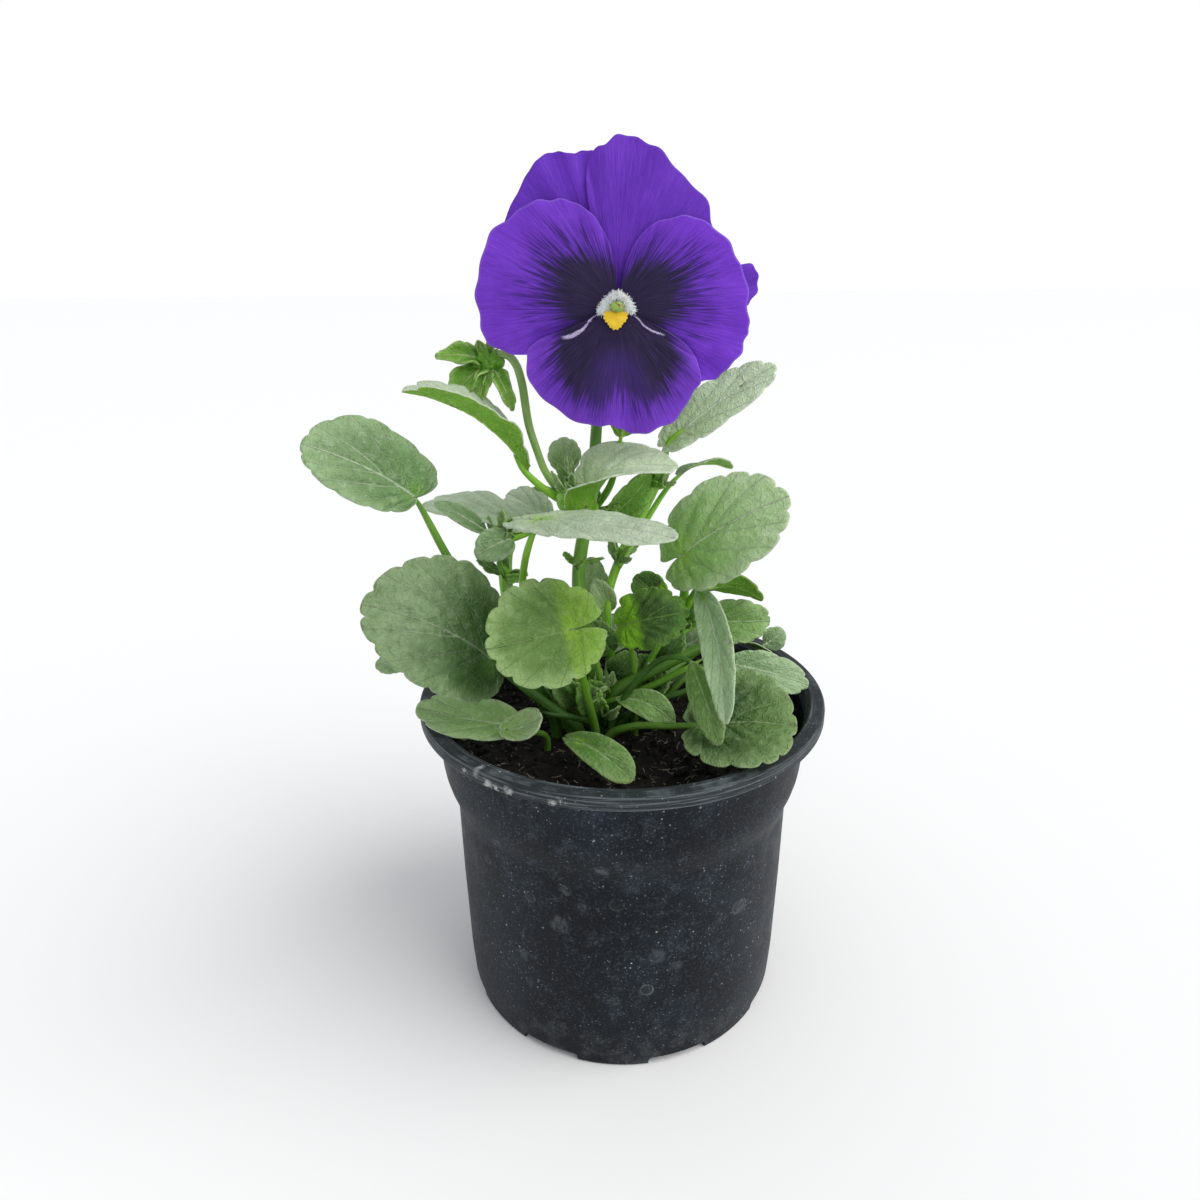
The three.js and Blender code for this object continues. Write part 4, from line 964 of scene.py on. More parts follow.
# Each leaf's root in the soil, the way of its stalk and the stalk's radius, the blade's base, tip and
# width and the way its upper face looks, then what shapes its outline and surface.
BASAL_LEAVES = dict(
    high_left=dict(
        root=(-19, -14), via=[(-30, -15, 116), (-45, -16, 141)], stalk=1.6, base=(-53.2, -18, 160.6),
        tip=(-76.5, -30, 176.6), width=21.8, faces=(0.12, -1, 0.7), back=0.12, lobes=6, arch=0.08, fold=6,
        sweep=-0.02, finish="sage", stem="thick", widest=0.5, shoulders=(1.1, 0.4), lean=-0.11, skew=-0.6,
        tooth=0.05,
    ),
    low_left=dict(
        root=(-12, -18), via=[(-21, -22, 103)], stalk=1.7, base=(-34, -28, 119), tip=(-61.8, -44, 140.8),
        width=35, faces=(0.1, -1, 0.9), back=0.2, lobes=7, tooth=0.065, arch=0.1, fold=4, sweep=-0.03,
        lean=-0.08, finish="deep", stem="deep",
    ),
    front_round=dict(
        root=(-7, -21), via=[(-9, -25, 106)], stalk=1.3, base=(-13, -34, 130), tip=(-32, -46, 130),
        width=28, faces=(0.1, -1, 0.5), back=0.5, widest=0.3, lobes=6, arch=0, fold=0, tooth=0.11, lean=-0.05,
        finish="round",
    ),
    front_flat=dict(
        root=(-15, -13), via=[(-22, -17, 115), (-26, -20, 138)], stalk=1.3, base=(-20, -26, 156.8),
        tip=(12.6, -44, 157), width=21, faces=(-0.1, 0, 1), back=0.3, lobes=4, arch=0.03, fold=-3, tooth=0.03,
        finish="pale",
    ),
    dark_right=dict(
        root=(4, -13), via=[(4, -12, 106)], stalk=1, base=(2, -15, 124), tip=(18, -21, 130),
        width=17, faces=(-0.1, -1, 0.5), back=0.38, lobes=7, tooth=0.14, arch=0.1, wave=0.08,
        finish="dark", puff=1.8, frill=0.9,
    ),
    hanging_dark=dict(
        root=(-3, -17), via=[(3, -18, 106), (12, -20, 116)], stalk=1, base=(18.6, -25, 117),
        tip=(25, -42.5, 102), width=8.5, faces=(-0.3, -1, 0.1), back=0, lobes=3, tooth=0.03, taper=1.2,
        widest=0.5, sweep=0.03, finish="front", stem="deep",
    ),
    low_right=dict(
        root=(-3.5, -22), via=[(3, -25, 97.5), (14, -29, 100)], stalk=1.3, base=(22.7, -32, 102.4),
        tip=(45.6, -36, 104.2), width=33.5, faces=(0, -0.4, 1), back=0.32, lobes=6, arch=0.05,
        finish="lit",
    ),
    rim_right=dict(
        root=(10, -11), via=[(18, -9, 104)], stalk=1, base=(30, -4, 107), tip=(56, -2, 99),
        width=12, faces=(0, -1, 0.8), back=0, lobes=4, arch=0.1, taper=1.2, finish="dull",
    ),
    rim_far_right=dict(
        root=(36, 17), via=[(43, 22, 97)], stalk=0.7, base=(47, 25, 100), tip=(54, 28, 104),
        width=8, faces=(0, -1, 0.4), back=0, lobes=2, arch=0.08, taper=1.2, finish="sage",
    ),
    soil_front=dict(
        root=(-11, -27), via=[(-12, -31, 96)], stalk=0.9, base=(-11, -34, 98), tip=(3, -46, 93.6),
        width=10, faces=(0, -0.6, 1), back=0.4, widest=0.62, shoulders=(1.5, 1.5), lobes=3, tooth=0.03,
        arch=0.1, fold=14, finish="front",
    ),
    rim_left=dict(
        root=(-21, -22), via=[(-25, -27, 97)], stalk=1, base=(-29, -30, 100.6),
        tip=(-56, -26, 103.6), width=14, faces=(0, -0.7, 1), back=0.1, lobes=3, arch=-0.03, fold=14,
        finish="rim",
    ),
    rim_far_left=dict(
        root=(-24, -4), via=[(-33, -4, 103), (-50, -5, 110)], stalk=0.9, base=(-63, -5, 108),
        tip=(-73, -4, 106), width=7, faces=(0, -1, 0.7), back=0, lobes=3, taper=1.2, finish="sage",
    ),
    back_left=dict(
        root=(-13, -1), via=[(-16, 8, 102)], stalk=1.1, base=(-19, 17, 104), tip=(-30, 40, 101),
        width=24, faces=(0, 0.3, 1), back=0.25, lobes=6, arch=0.08, finish="deep",
    ),
    back_middle=dict(
        root=(-5, 0), via=[(-4, 10, 101)], stalk=1.1, base=(-3, 20, 104), tip=(2, 46, 101),
        width=25, faces=(0.1, 0.3, 1), back=0.25, lobes=6, arch=0.08, phase=1, finish="lit",
    ),
    back_right=dict(
        root=(4, 0), via=[(12, 9, 100)], stalk=1.1, base=(19, 17, 102), tip=(36, 34, 100),
        width=22, faces=(0.2, 0.3, 1), back=0.25, lobes=5, arch=0.08, phase=2, finish="lit",
    ),
    back_rim=dict(
        root=(-19, -3), via=[(-28, 5, 99)], stalk=1, base=(-36, 11, 102), tip=(-55, 24, 102),
        width=18, faces=(-0.3, 0.2, 1), back=0.25, lobes=5, arch=0.08, phase=3, finish="deep",
    ),
)
FOLDED_LOBE = dict(
    root_side=[(-26, -28, 98), (-29, -31, 99)], stalk=0.9, base=(-31, -34, 101.4), tip=(-20.5, -38, 107.2),
    width=9, faces=(-0.1, -0.8, 1), back=0.1, widest=0.58, lobes=4, tooth=0.05, arch=-0.12, fold=16,
    taper=1.1, finish="rim",
)

for name, leaf in BASAL_LEAVES.items():
    parts = leaf_with_stalk("blade_" + name, leaf, [*rooted(leaf["root"]), *leaf["via"]])
    if name == "rim_left":
        parts += leaf_with_stalk("blade_folded_lobe", FOLDED_LOBE, FOLDED_LOBE["root_side"])
    whole = joined("grown_" + name, parts)
    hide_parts("leaf_" + name)
    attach(whole, "root")

# ---- Shoots ----
# Four leafy shoots rise from the crown: soft ribbed stems, a little swollen where leaves start,
# with their leaves, small cut stipules, the flower stalk and the stalk of the spent flower.

SHOOTS = dict(
    main_shoot=dict(
        root=(-7, -11), radius=2.4, end_radius=1.2, finish="thick",
        via=[
            (-9, -9, 112), (-12, -6, 131), (-11, -2, 143), (-9, 2, 150), (-8, 6, 160), (-7, 9, 173),
            (-6, 11, 190), (-4, 9, 203), (-2, 4, 207), (-1, 0, 206),
        ],
        joints=[(150, 0.3), (108, 0.2)],
        leaves=[
            dict(
                start=[(-9, 3, 151), (-18, 0, 156)], stalk=1.3, base=(-25, -4, 164),
                tip=(-54, -18, 187.4), width=17, faces=(0.7, 0.35, 0.8), back=0, lobes=5, arch=0.09,
                fold=38, taper=1.5, widest=0.35, lean=-0.22, finish="pale",
            ),
            dict(
                start=[(-9, 2, 149), (-8.5, -2, 149.5)], stalk=1.2, base=(-7.5, -4, 151),
                tip=(15.5, -4, 165.5), width=27, faces=(-0.1, -0.1, 1), back=0.2, lobes=5,
                funnel=0.74, arch=0.06, fold=11, cup=(-1, -8), tooth=0.06, widest=0.6,
                shoulders=(1.9, 1), frill=0.1, finish="funnel",
            ),
            dict(
                start=[(-9, 4, 153), (-14, 9, 157)], stalk=0.9, base=(-16, 12, 161),
                tip=(-17, 16, 170), width=10, faces=(0, -1, 0.3), back=0.05, lobes=4, finish="rim",
            ),
            dict(
                start=[(-9, -9, 106), (-7, -2, 111)], stalk=0.9, base=(-6, 4, 117),
                tip=(-9, 8, 136), width=12, faces=(-0.4, -1, 0.2), back=0, lobes=2, taper=1.5,
                finish="rim",
            ),
            dict(
                start=[(-9, 3, 150), (-3, 7, 158)], stalk=1, base=(0, 8, 171), tip=(3, 12, 186),
                width=10, faces=(0.2, 1, 0.2), back=0, lobes=3, taper=1.5, finish="fresh",
            ),
            dict(
                start=[(-8, -12, 97), (-4, -16, 100.5)], stalk=0.9, base=(-1, -17, 102),
                tip=(15, -22, 96.5), width=8.5, faces=(0.1, -1, 0.7), back=0, lobes=1, tooth=0,
                arch=0.15, taper=1.3, widest=0.6, sweep=0.1, finish="clear",
            ),
        ],
    ),
    left_shoot=dict(
        root=(-16, -8), radius=2.2, end_radius=1.9, finish="bright",
        via=[(-23, -8, 108), (-32, -6, 128), (-33, 0, 142), (-33, 3, 147)],
        joints=[(142, 0.25)],
        leaves=[
            dict(
                start=[(-33, 1, 143), (-30, 5, 144)], stalk=1, base=(-28, 8, 145), tip=(-60, 14, 150),
                width=20, faces=(0, -0.15, 1), back=0.05, lobes=4, arch=0.08, finish="pale",
            ),
            dict(
                start=[(-33, 1, 143), (-26, 8, 144)], stalk=1, base=(-22, 14, 146),
                tip=(-35, 24, 151.6), width=12, faces=(0.1, -1, 1), back=0.05, lobes=4, arch=0.08,
                finish="pale",
            ),
            dict(
                start=[(-33, -1, 140), (-32, -2, 143)], stalk=0.8, base=(-31, -3, 145),
                tip=(-40, -10, 142), width=10, faces=(0.1, -1, 0.6), back=0.05, lobes=3, arch=0.1,
                finish="sage",
            ),
            dict(
                start=[(-33, 0, 141), (-36, 0, 144)], stalk=0.8, base=(-38, 0, 146),
                tip=(-51, -6, 156), width=6, faces=(0.1, -1, 1.2), back=0, lobes=2, tooth=0.02,
                taper=1.2, finish="sage",
            ),
        ],
    ),
    right_shoot=dict(
        root=(-1, -7), radius=1.5, end_radius=1.2, finish="bright",
        via=[(-3, -3, 108), (-4, 0, 125), (0, 3, 138), (9, 6, 156), (12, 7, 165)],
        joints=[(158, 0.2)],
        leaves=[
            dict(
                start=[(10, 6, 158), (12, 7, 164)], stalk=1.1, base=(13, 6, 170), tip=(43, 14, 190),
                width=14, faces=(-0.4, -1, 0.7), back=0.1, lobes=5, arch=0.02, widest=0.5,
                sweep=0.02, finish="funnel",
            ),
            dict(
                start=[(-1, 2, 135), (7, 7, 147), (13, 9, 156)], stalk=1, base=(16, 10, 160),
                tip=(33, 20, 160), width=12, faces=(-0.1, 0.3, 1), back=0, lobes=3, arch=0.12,
                taper=1.5, finish="sage",
            ),
        ],
    ),
    low_right_shoot=dict(
        root=(5, -6), radius=1.6, end_radius=1.4, finish="deep",
        via=[(9, -6, 101), (15, -4, 115), (19, -3, 124)],
        joints=[(118, 0.2)],
        leaves=[
            dict(
                start=[(17, -4, 119), (18, -5, 130)], stalk=1.3, base=(17, -10, 143),
                tip=(42.8, -18, 160.6), width=29, faces=(-0.1, -1, 0.9), back=0.3, lobes=6, arch=0.08,
                widest=0.4, tooth=0.09, lean=-0.06, finish="broad",
            ),
            dict(
                start=[(18, -3, 121), (20, -7, 129)], stalk=0.9, base=(21, -14, 134),
                tip=(26, -45, 109.4), width=9.6, faces=(-0.5, -1, 0.2), back=0, lobes=6, tooth=0.02,
                arch=0.1, fold=20, taper=1.1, widest=0.5, sweep=0.1, lean=0.1, finish="dull",
            ),
            dict(
                start=[(16, -4, 117), (19, -1, 123)], stalk=1, base=(21, 2, 126), tip=(42, 4, 124),
                width=14, faces=(0.1, 0.9, 1), back=0, lobes=3, arch=0.18, taper=1.3, finish="shade",
            ),
            dict(
                start=[(12, -5, 109), (18, 1, 114)], stalk=1, base=(24, 4, 117), tip=(46, 12, 114),
                width=14, faces=(0, -1, 0.3), back=0.1, lobes=5, finish="clear",
            ),
            dict(
                start=[(14, -4, 113), (14, 1, 120)], stalk=0.9, base=(12, 4, 124), tip=(4, 8, 130),
                width=10, faces=(-0.1, -1, 0.5), back=0.1, lobes=4, arch=0.1, finish="dark",
            ),
            dict(
                start=[(8, -6, 99), (19, 3, 104)], stalk=0.9, base=(31, 12, 108), tip=(50, 18, 98),
                width=9, faces=(0.1, 0.3, 1), back=0, lobes=3, arch=0.08, taper=1.2, finish="dull",
            ),
        ],
    ),
)

BLOOM_CENTRE = (-1, -5, 206)


def in_bloom(across, up, front):
    """A place given across, up and towards the viewer from the bloom's centre."""
    return (BLOOM_CENTRE[0] + across, BLOOM_CENTRE[1] - front, BLOOM_CENTRE[2] + up)


def round_piece(name, radii, centre, finish, segments=24, rings=16):
    """A ball stretched to three radii, in millimetres."""
    bpy.ops.object.select_all(action="DESELECT")
    bpy.ops.mesh.primitive_uv_sphere_add(segments=segments, ring_count=rings, radius=1)
    ball = bpy.context.object
    ball.name = name
    for corner in ball.data.vertices:
        corner.co = Vector([(c + s * r) * MM for c, s, r in zip(centre, corner.co, radii)])
    ball.data.materials.append(finish)
    bpy.ops.object.shade_smooth()
    return ball


SEPAL = dict(back=0, lobes=1, tooth=0, taper=0.8, wave=0, puff=0.3)


def flower_back():
    """The receptacle behind the petals with its five sepals and the spur."""
    bright = STEM_FINISHES["bright"]
    parts = [round_piece("receptacle", (2.6, 2.3, 2.6), in_bloom(0, 0, -3.3), bright)]
    for k in range(5):
        angle = math.radians(90 + 72 * k)
        c, s = math.cos(angle), math.sin(angle)
        base, tip = in_bloom(1.2 * c, 1.2 * s, -2.2), in_bloom(13 * c, 13 * s, -3.2)
        sepal = dict(SEPAL, base=base, tip=tip, width=5, faces=(0, -1, 0))
        parts.append(leaf_blade(f"sepal_{k}", sepal, LEAF_FINISHES["fresh"], UNDERSIDE, 0.3))
    spur = [in_bloom(0, -1, -3), in_bloom(0.5, -2.5, -7), in_bloom(1, -1.5, -11)]
    parts.append(stalk("spur", spur, 1.5, 0.9, bright, point_end=False))
    return parts


def spent_flower():
    """The flower that is over: its stalk arches, and its open calyx hangs beside the bloom."""
    heart = (-35.3, 1.6, 192.4)
    sepals = [
        dict(tip=(-49, -1, 194.2), width=6, faces=(0.2, -1, 0.8)),
        dict(tip=(-46, 3, 196), width=5, faces=(0, -1, 0.4)),
        dict(tip=(-45.4, -2, 181.4), width=8.5, faces=(-0.6, -1, 0.3)),
        dict(tip=(-41.4, 0, 179), width=4.5, faces=(-0.3, -1, 0.1)),
        dict(tip=(-37.6, -3, 182.6), width=5, faces=(0, -1, 0)),
        dict(tip=(-28.8, -2, 180), width=5, faces=(0.6, -1, 0)),
        dict(tip=(-37.9, 1.6, 198), width=3, faces=(0, -1, 0.2)),
        dict(tip=(-34.4, 1.8, 198), width=3, faces=(0, -1, 0.2)),
    ]
    path = [
        (-9, 3, 151), (-17, 2, 157), (-21, 1, 163), (-23, 0, 169), (-25, 0, 176), (-26.6, 0.5, 187.5),
        (-28, 1.2, 191.8), (-30, 1.6, 194), (-33, 1.6, 194.4),
    ]
    parts = [stalk("spent_stalk", path, 1.1, 1.1, STEM_FINISHES["grey"], point_end=False)]
    cup = round_piece("spent_receptacle", (3.9, 3.1, 3.4), heart, STEM_FINISHES["cup"], 64, 40)
    for corner in cup.data.vertices:
        off = corner.co - Vector(heart) * MM
        ribs = math.sin(9 * math.atan2(off.x, off.z) + 2 * math.sin(300 * off.z))
        corner.co += off * (0.1 * ribs + 0.25 * noise.noise(off * 700))
    parts.append(cup)
    calyx = LEAF_FINISHES["calyx"]
    for k, sepal in enumerate(sepals):
        blade = dict(SEPAL, base=heart, arch=0.12, **sepal)
        blade.update(lobes=4, tooth=0.1, wave=0.3, fold=22, frill=0.5)
        parts.append(leaf_blade(f"spent_sepal_{k}", blade, calyx, calyx, 0.8))
    return parts


# Where stipules and young leaves crowd round a joint: the joint, then how many, the shortest and
# the longest, which way they lean, and how far they spread from it.
YOUNG = dict(
    main_shoot=[
        ((-9, 2, 149.5), 7, 7, 12, (0, -0.3, 1), 0.8),
        ((-14.5, 2, 156), 7, 6, 12, (-0.3, -0.4, 1), 0.9),
        ((-8, -10.5, 97), 9, 6, 13, (0.1, -0.5, 1), 0.7),
        ((-5, -12.5, 95), 8, 7, 15, (0.3, -0.7, 1), 0.5),
        ((-10, -8, 115), 5, 5, 9, (0.2, -0.6, 1), 0.8),
        ((-11.5, -4, 137), 5, 5, 8, (0.3, -0.5, 1), 0.8),
    ],
    left_shoot=[
        ((-33, 1, 143), 9, 6, 12, (0.1, -0.5, 1), 1),
        ((-32.5, -3.5, 134), 6, 6, 11, (0.2, -0.6, 1), 0.7),
        ((-30, -6.5, 124), 5, 6, 11, (0.2, -0.6, 1), 0.6),
        ((-18, -8, 101), 4, 6, 10, (-0.3, -0.8, 1), 0.7),
    ],
    right_shoot=[
        ((9.5, 6, 157), 6, 6, 11, (0.3, -0.4, 1), 0.8),
        ((-1, 2.5, 136), 6, 6, 11, (0.3, -0.3, 1), 0.8),
        ((-3.5, -2, 112), 4, 6, 10, (0.3, -0.5, 1), 0.7),
    ],
    low_right_shoot=[
        ((17, -3.5, 119), 6, 5, 10, (-0.4, -0.4, 1), 0.9),
        ((10, -6, 103), 6, 6, 12, (0.2, -0.7, 0.8), 0.7),
    ],
)


def young_growth(name, joint, count, shortest, longest, leaning, spread, draw):
    """Narrow notched stipules and small leaves round a joint of a stem."""
    parts = []
    for k in range(count):
        aim = Vector(leaning).normalized() + Vector([draw.uniform(-1, 1) for _ in range(3)]) * spread
        aim.normalize()
        length = draw.uniform(shortest, longest)
        base = [c + draw.uniform(-0.6, 0.6) for c in joint]
        tip = [c + length * a for c, a in zip(base, aim)]
        stipule = dict(
            base=base, tip=tip, width=length * draw.uniform(0.18, 0.34), taper=1.7, widest=0.62, back=0,
            faces=(draw.uniform(-0.9, 0.9), -1, draw.uniform(-0.2, 0.7)), lobes=draw.choice((3, 4, 5)),
            tooth=0.34, arch=draw.uniform(-0.05, 0.3), fold=draw.uniform(5, 35), wave=0.16,
        )
        upper = LEAF_FINISHES[draw.choice(("fresh", "clear", "fresh", "shade", "clear"))]
        parts.append(leaf_blade(f"{name}_young_{k}", stipule, upper, UNDERSIDE, 0.8))
    return parts


# Leaf stalks and small leaves deep in the crown: each stalk as a path with its thickness, and each
# leaf as base, tip, width and finish.
CROWN_STALKS = dict(
    main_shoot=[
        ([(-8, -12, 92), (-11, -16, 100), (-17, -19, 108)], 1.1, "deep"),
        ([(-7, -13, 92), (-13, -19, 97), (-22, -23, 101)], 1.2, "deep"),
        ([(-6, -12, 93), (-6, -14, 104), (-7, -16, 116)], 0.9, "bright"),
    ],
    low_right_shoot=[
        ([(-4, -13, 92), (-2, -14, 102), (8.3, -12, 107.9), (21.9, -8, 113.3), (27, -7, 115)], 1.9, "thick"),
        (
            [(-3, -14, 92), (-1, -15, 99.2), (9.7, -14, 105.1), (19, -13, 109.7), (23, -12, 112)],
            1.2, "bright",
        ),
        ([(-1, -15, 92), (2.6, -16, 97), (11, -15.5, 101), (19.5, -15, 103.8), (26, -13, 107)], 1.1, "deep"),
        ([(5, -10, 92), (9, -10, 98), (18, -6, 103), (29, -1, 107)], 1.2, "deep"),
        ([(3, -11, 92), (6, -11, 106), (13, -9, 119)], 1, "bright"),
    ],
)
CROWN_LEAF = dict(back=0.05, lobes=4, arch=0.12, fold=16, taper=1.3)
CROWN_LEAVES = dict(
    main_shoot=[
        ((-8, -13, 97), (-12, -19, 107), 9, (0.2, -1, 0.5), "dark"),
        ((-12, -12, 99), (-19, -18, 108), 9, (0, -1, 0.4), "shade"),
        ((-6, -13, 99), (-9, -18, 108), 8, (0.3, -1, 0.2), "dark"),
        ((-7, -8, 103), (-15, -10, 115), 9, (0, -1, 0.3), "shade"),
        ((-3.5, 3, 149.5), (8, 4, 162), 11, (0.3, -1, -0.3), "fresh"),
        ((-11, 1, 150), (-17, -2, 159), 8, (0.2, -1, -0.1), "fresh"),
    ],
    right_shoot=[
        ((-2, -6, 103), (4, -9, 113), 9, (-0.2, -1, 0.3), "shade"),
        ((-3, -3, 110), (-9, -5, 121), 9, (0.3, -1, 0.1), "shade"),
        ((-3, 0, 122), (-8, 0, 132), 7, (0.2, -1, 0.2), "rim"),
    ],
    low_right_shoot=[
        ((7, -7, 99), (14, -12, 106), 9, (-0.2, -1, 0.6), "shade"),
        ((10, -6, 102), (5, -9, 112), 8, (0.2, -1, 0.3), "dark"),
        ((12, -5, 108), (18, -8, 118), 8, (-0.2, -1, 0.4), "shade"),
        ((18, -3, 120), (22, -5, 129), 6, (-0.2, -1, 0.4), "clear"),
    ],
)

for name, shoot in SHOOTS.items():
    path = [*rooted(shoot["root"]), *shoot["via"]]
    finish = STEM_FINISHES[shoot["finish"]]
    parts = [
        stalk(name + "_stem", path, shoot["radius"], shoot["end_radius"], finish, joints=shoot["joints"],
              sides=16, point_end=False)
    ]
    for k, leaf in enumerate(shoot["leaves"]):
        parts += leaf_with_stalk(f"{name}_leaf_{k}", leaf, leaf["start"])
    draw = random.Random(len(shoot["leaves"]))
    for number, growth in enumerate(YOUNG[name]):
        parts += young_growth(f"{name}_{number}", *growth, draw)
    for k, (line, thick, tone) in enumerate(CROWN_STALKS.get(name, ())):
        parts.append(stalk(f"{name}_crown_{k}", line, thick, 0.8 * thick, STEM_FINISHES[tone]))
    for k, (base, tip, width, faces, tone) in enumerate(CROWN_LEAVES.get(name, ())):
        leaf = dict(base=base, tip=tip, width=width, faces=faces, **CROWN_LEAF)
        parts.append(leaf_blade(f"{name}_deep_{k}", leaf, LEAF_FINISHES[tone], UNDERSIDE))
    if name == "main_shoot":
        parts += flower_back() + spent_flower()
    whole = joined("grown_" + name, parts)
    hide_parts(name)
    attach(whole, "root")

# ---- Petals ----
# Five velvety petals in three layers: two upper ones behind, two lateral ones, and the lower one in
# front. The lateral and lower petals carry the dark blotch, which runs out in fine streaks.

# How far the layers stand apart at the throat, how much more towards the edge, how strongly the bloom
# curves back, and how thick a petal is. Each petal then has its layer, its ruffle, the reach of its
# blotch by bearing in degrees, and its outline from the throat round to the throat.
LAYER_GAP, LAYER_SPREAD, BACKWARD, PETAL_THICKNESS = 1, 0.03, 0.0045, 0.3
PETALS = dict(
    petal_upper_left=dict(
        layer=0.6, ruffle=0.35, phase=0.9, scallop=0.3, blotch=[(90, 3), (180, 3)],
        outline=[
            (0, 1), (3, 13), (2, 24), (-1, 32), (-4, 35.4), (-8, 36), (-11.6, 35.4), (-15.4, 36),
            (-19.6, 34.2), (-23.3, 29.4), (-27.6, 21.6), (-28.8, 14), (-24, 7), (-12, 3), (0, 1),
        ],
    ),
    petal_upper_right=dict(
        layer=1, ruffle=0.4, phase=2, blotch=[(0, 3), (90, 3)],
        outline=[
            (0, 1), (-3.6, 10), (-6.4, 20), (-7.4, 29), (-7, 34), (-4.4, 36.6), (0, 39), (5.4, 38.6),
            (10.8, 35.2), (16.6, 29.8), (22.3, 23.6), (24.4, 16.5), (29.2, 10.4), (33.4, 9.9),
            (35.9, 7), (35.2, 3), (33, 0), (28, -2), (14, -2.5), (0, 1),
        ],
    ),
    petal_left=dict(
        layer=2, ruffle=0.5, phase=1,
        blotch=[
            (80, 8), (95, 9), (110, 12), (130, 17), (150, 19.5), (165, 18), (180, 15.5), (200, 13), (230, 9),
        ],
        outline=[
            (-0.6, 0.5), (-0.2, 6), (-1.3, 12.5), (-3.5, 18), (-8, 23), (-15, 25), (-22.4, 23.6),
            (-31.4, 17.4), (-35.6, 6), (-35.1, -5), (-30.4, -10.4), (-20, -11), (-9, -6), (-0.6, 0.5),
        ],
    ),
    petal_right=dict(
        layer=2, ruffle=0.5, phase=2.2,
        blotch=[
            (-50, 9), (-30, 12), (-12, 15), (5, 17.5), (30, 18.5), (50, 15), (65, 12), (80, 9), (100, 8),
        ],
        outline=[
            (0.6, 0.5), (1.2, 6), (3.2, 12.5), (7, 17.8), (13, 20.5), (21.2, 20), (28.3, 13.7),
            (32.3, 6), (33.4, -3), (33.2, -8), (29.9, -14), (25.2, -17.8), (19, -17.4), (9, -8),
            (0.6, 0.5),
        ],
    ),
    petal_lower=dict(
        layer=3, ruffle=0.6, phase=0,
        blotch=[
            (-170, 15), (-150, 18.5), (-135, 22), (-115, 25), (-100, 24), (-90, 19), (-80, 23), (-65, 25),
            (-45, 22), (-25, 16), (-10, 12),
        ],
        outline=[
            (0, 0), (-5, -1.5), (-10, -4.5), (-18, -6.8), (-23.2, -11), (-22.4, -18.2), (-16, -25.2),
            (-7, -29.5), (-1, -29.3), (2.5, -31.3), (8, -31.3), (14.7, -28.3), (19.2, -22.3),
            (21.4, -16.5), (18.6, -10.2), (12, -5.5), (5, -2), (0, 0),
        ],
    ),
)


def spline_at(points, s):
    """Places on an even Catmull-Rom curve through the points, for shares s of the way along."""
    p = np.array(points, float)
    last = len(p) - 1
    first = np.minimum((s * last).astype(int), last - 1)
    t = (s * last - first)[..., None]
    a, b, c, d = p[np.maximum(first - 1, 0)], p[first], p[first + 1], p[np.minimum(first + 2, last)]
    leave, arrive = (c - a) / 2, (d - b) / 2
    cubic = (2 * b - 2 * c + leave + arrive) * t ** 3
    return cubic + (-3 * b + 3 * c - 2 * leave - arrive) * t ** 2 + leave * t + b


def petal_places(petal, s, r):
    """Corners of a petal's front face, and the numbers its finish reads: angle, reach from the
    throat, and how far the place lies beyond the blotch."""
    edge = spline_at(petal["outline"], s)
    claw = np.array(petal["outline"][0], float)
    far = (np.hypot(*np.moveaxis(edge, -1, 0)) / 25).clip(0, 1)[..., None] ** 2
    broad = 0.008 * np.sin(2 * np.pi * 11 * s + 2 * petal["phase"])
    small = 0.007 * np.sin(2 * np.pi * 19 * s + petal["phase"])
    scallops = petal.get("scallop", 1) * (broad + small)
    edge = claw + (edge - claw) * (1 + far * (scallops[..., None] - 0.004))
    middle = np.mean(petal["outline"], axis=0)
    flat = claw + r[..., None] * (edge - claw)
    across, up = flat[..., 0], flat[..., 1]
    reach = np.hypot(across, up)
    stacked = petal["layer"] * (LAYER_GAP + LAYER_SPREAD * reach)
    ruffled = petal["ruffle"] * r * (reach / 30) ** 2 * np.sin(14 * np.pi * s + petal["phase"])
    facing = math.degrees(math.atan2(middle[1], middle[0]))
    turn = (np.degrees(np.arctan2(up, across)) - facing + 180) % 360 - 180
    folds = 0.14 * np.sin(np.radians(turn) * 22 + petal["phase"]) * (reach / 25).clip(0, 1) * (1 - 0.5 * r)
    folds = folds + 0.12 * waves(across, up, 40 + petal["layer"], 5, 14) * (reach / 20).clip(0, 1)
    front = stacked - BACKWARD * reach * reach + ruffled + folds
    places = np.stack(in_bloom(across, up, front), axis=-1)
    angles, reaches = zip(*petal["blotch"])
    beyond = reach - np.interp(turn + facing, angles, reaches)
    fan = np.stack([np.radians(turn), reach, beyond], axis=-1)
    return places, fan, np.stack([r, s, across], axis=-1)


# The pale lips along the lower petal's top edge, left and right, painted as highlights where the edge
# rolls up: the reaches between which one bends and its bearings there in radians, the reaches between
# which it bends back and by how much, its half width, and the reach at which it ends.
LIPS = [
    (5, 10.5, -1.25, -1.03, 12, 17, -0.08, 0.62, 16),
    (4.8, 8.2, 1.14, 1.0, 9, 14.5, 0.07, 0.3, 14),
]


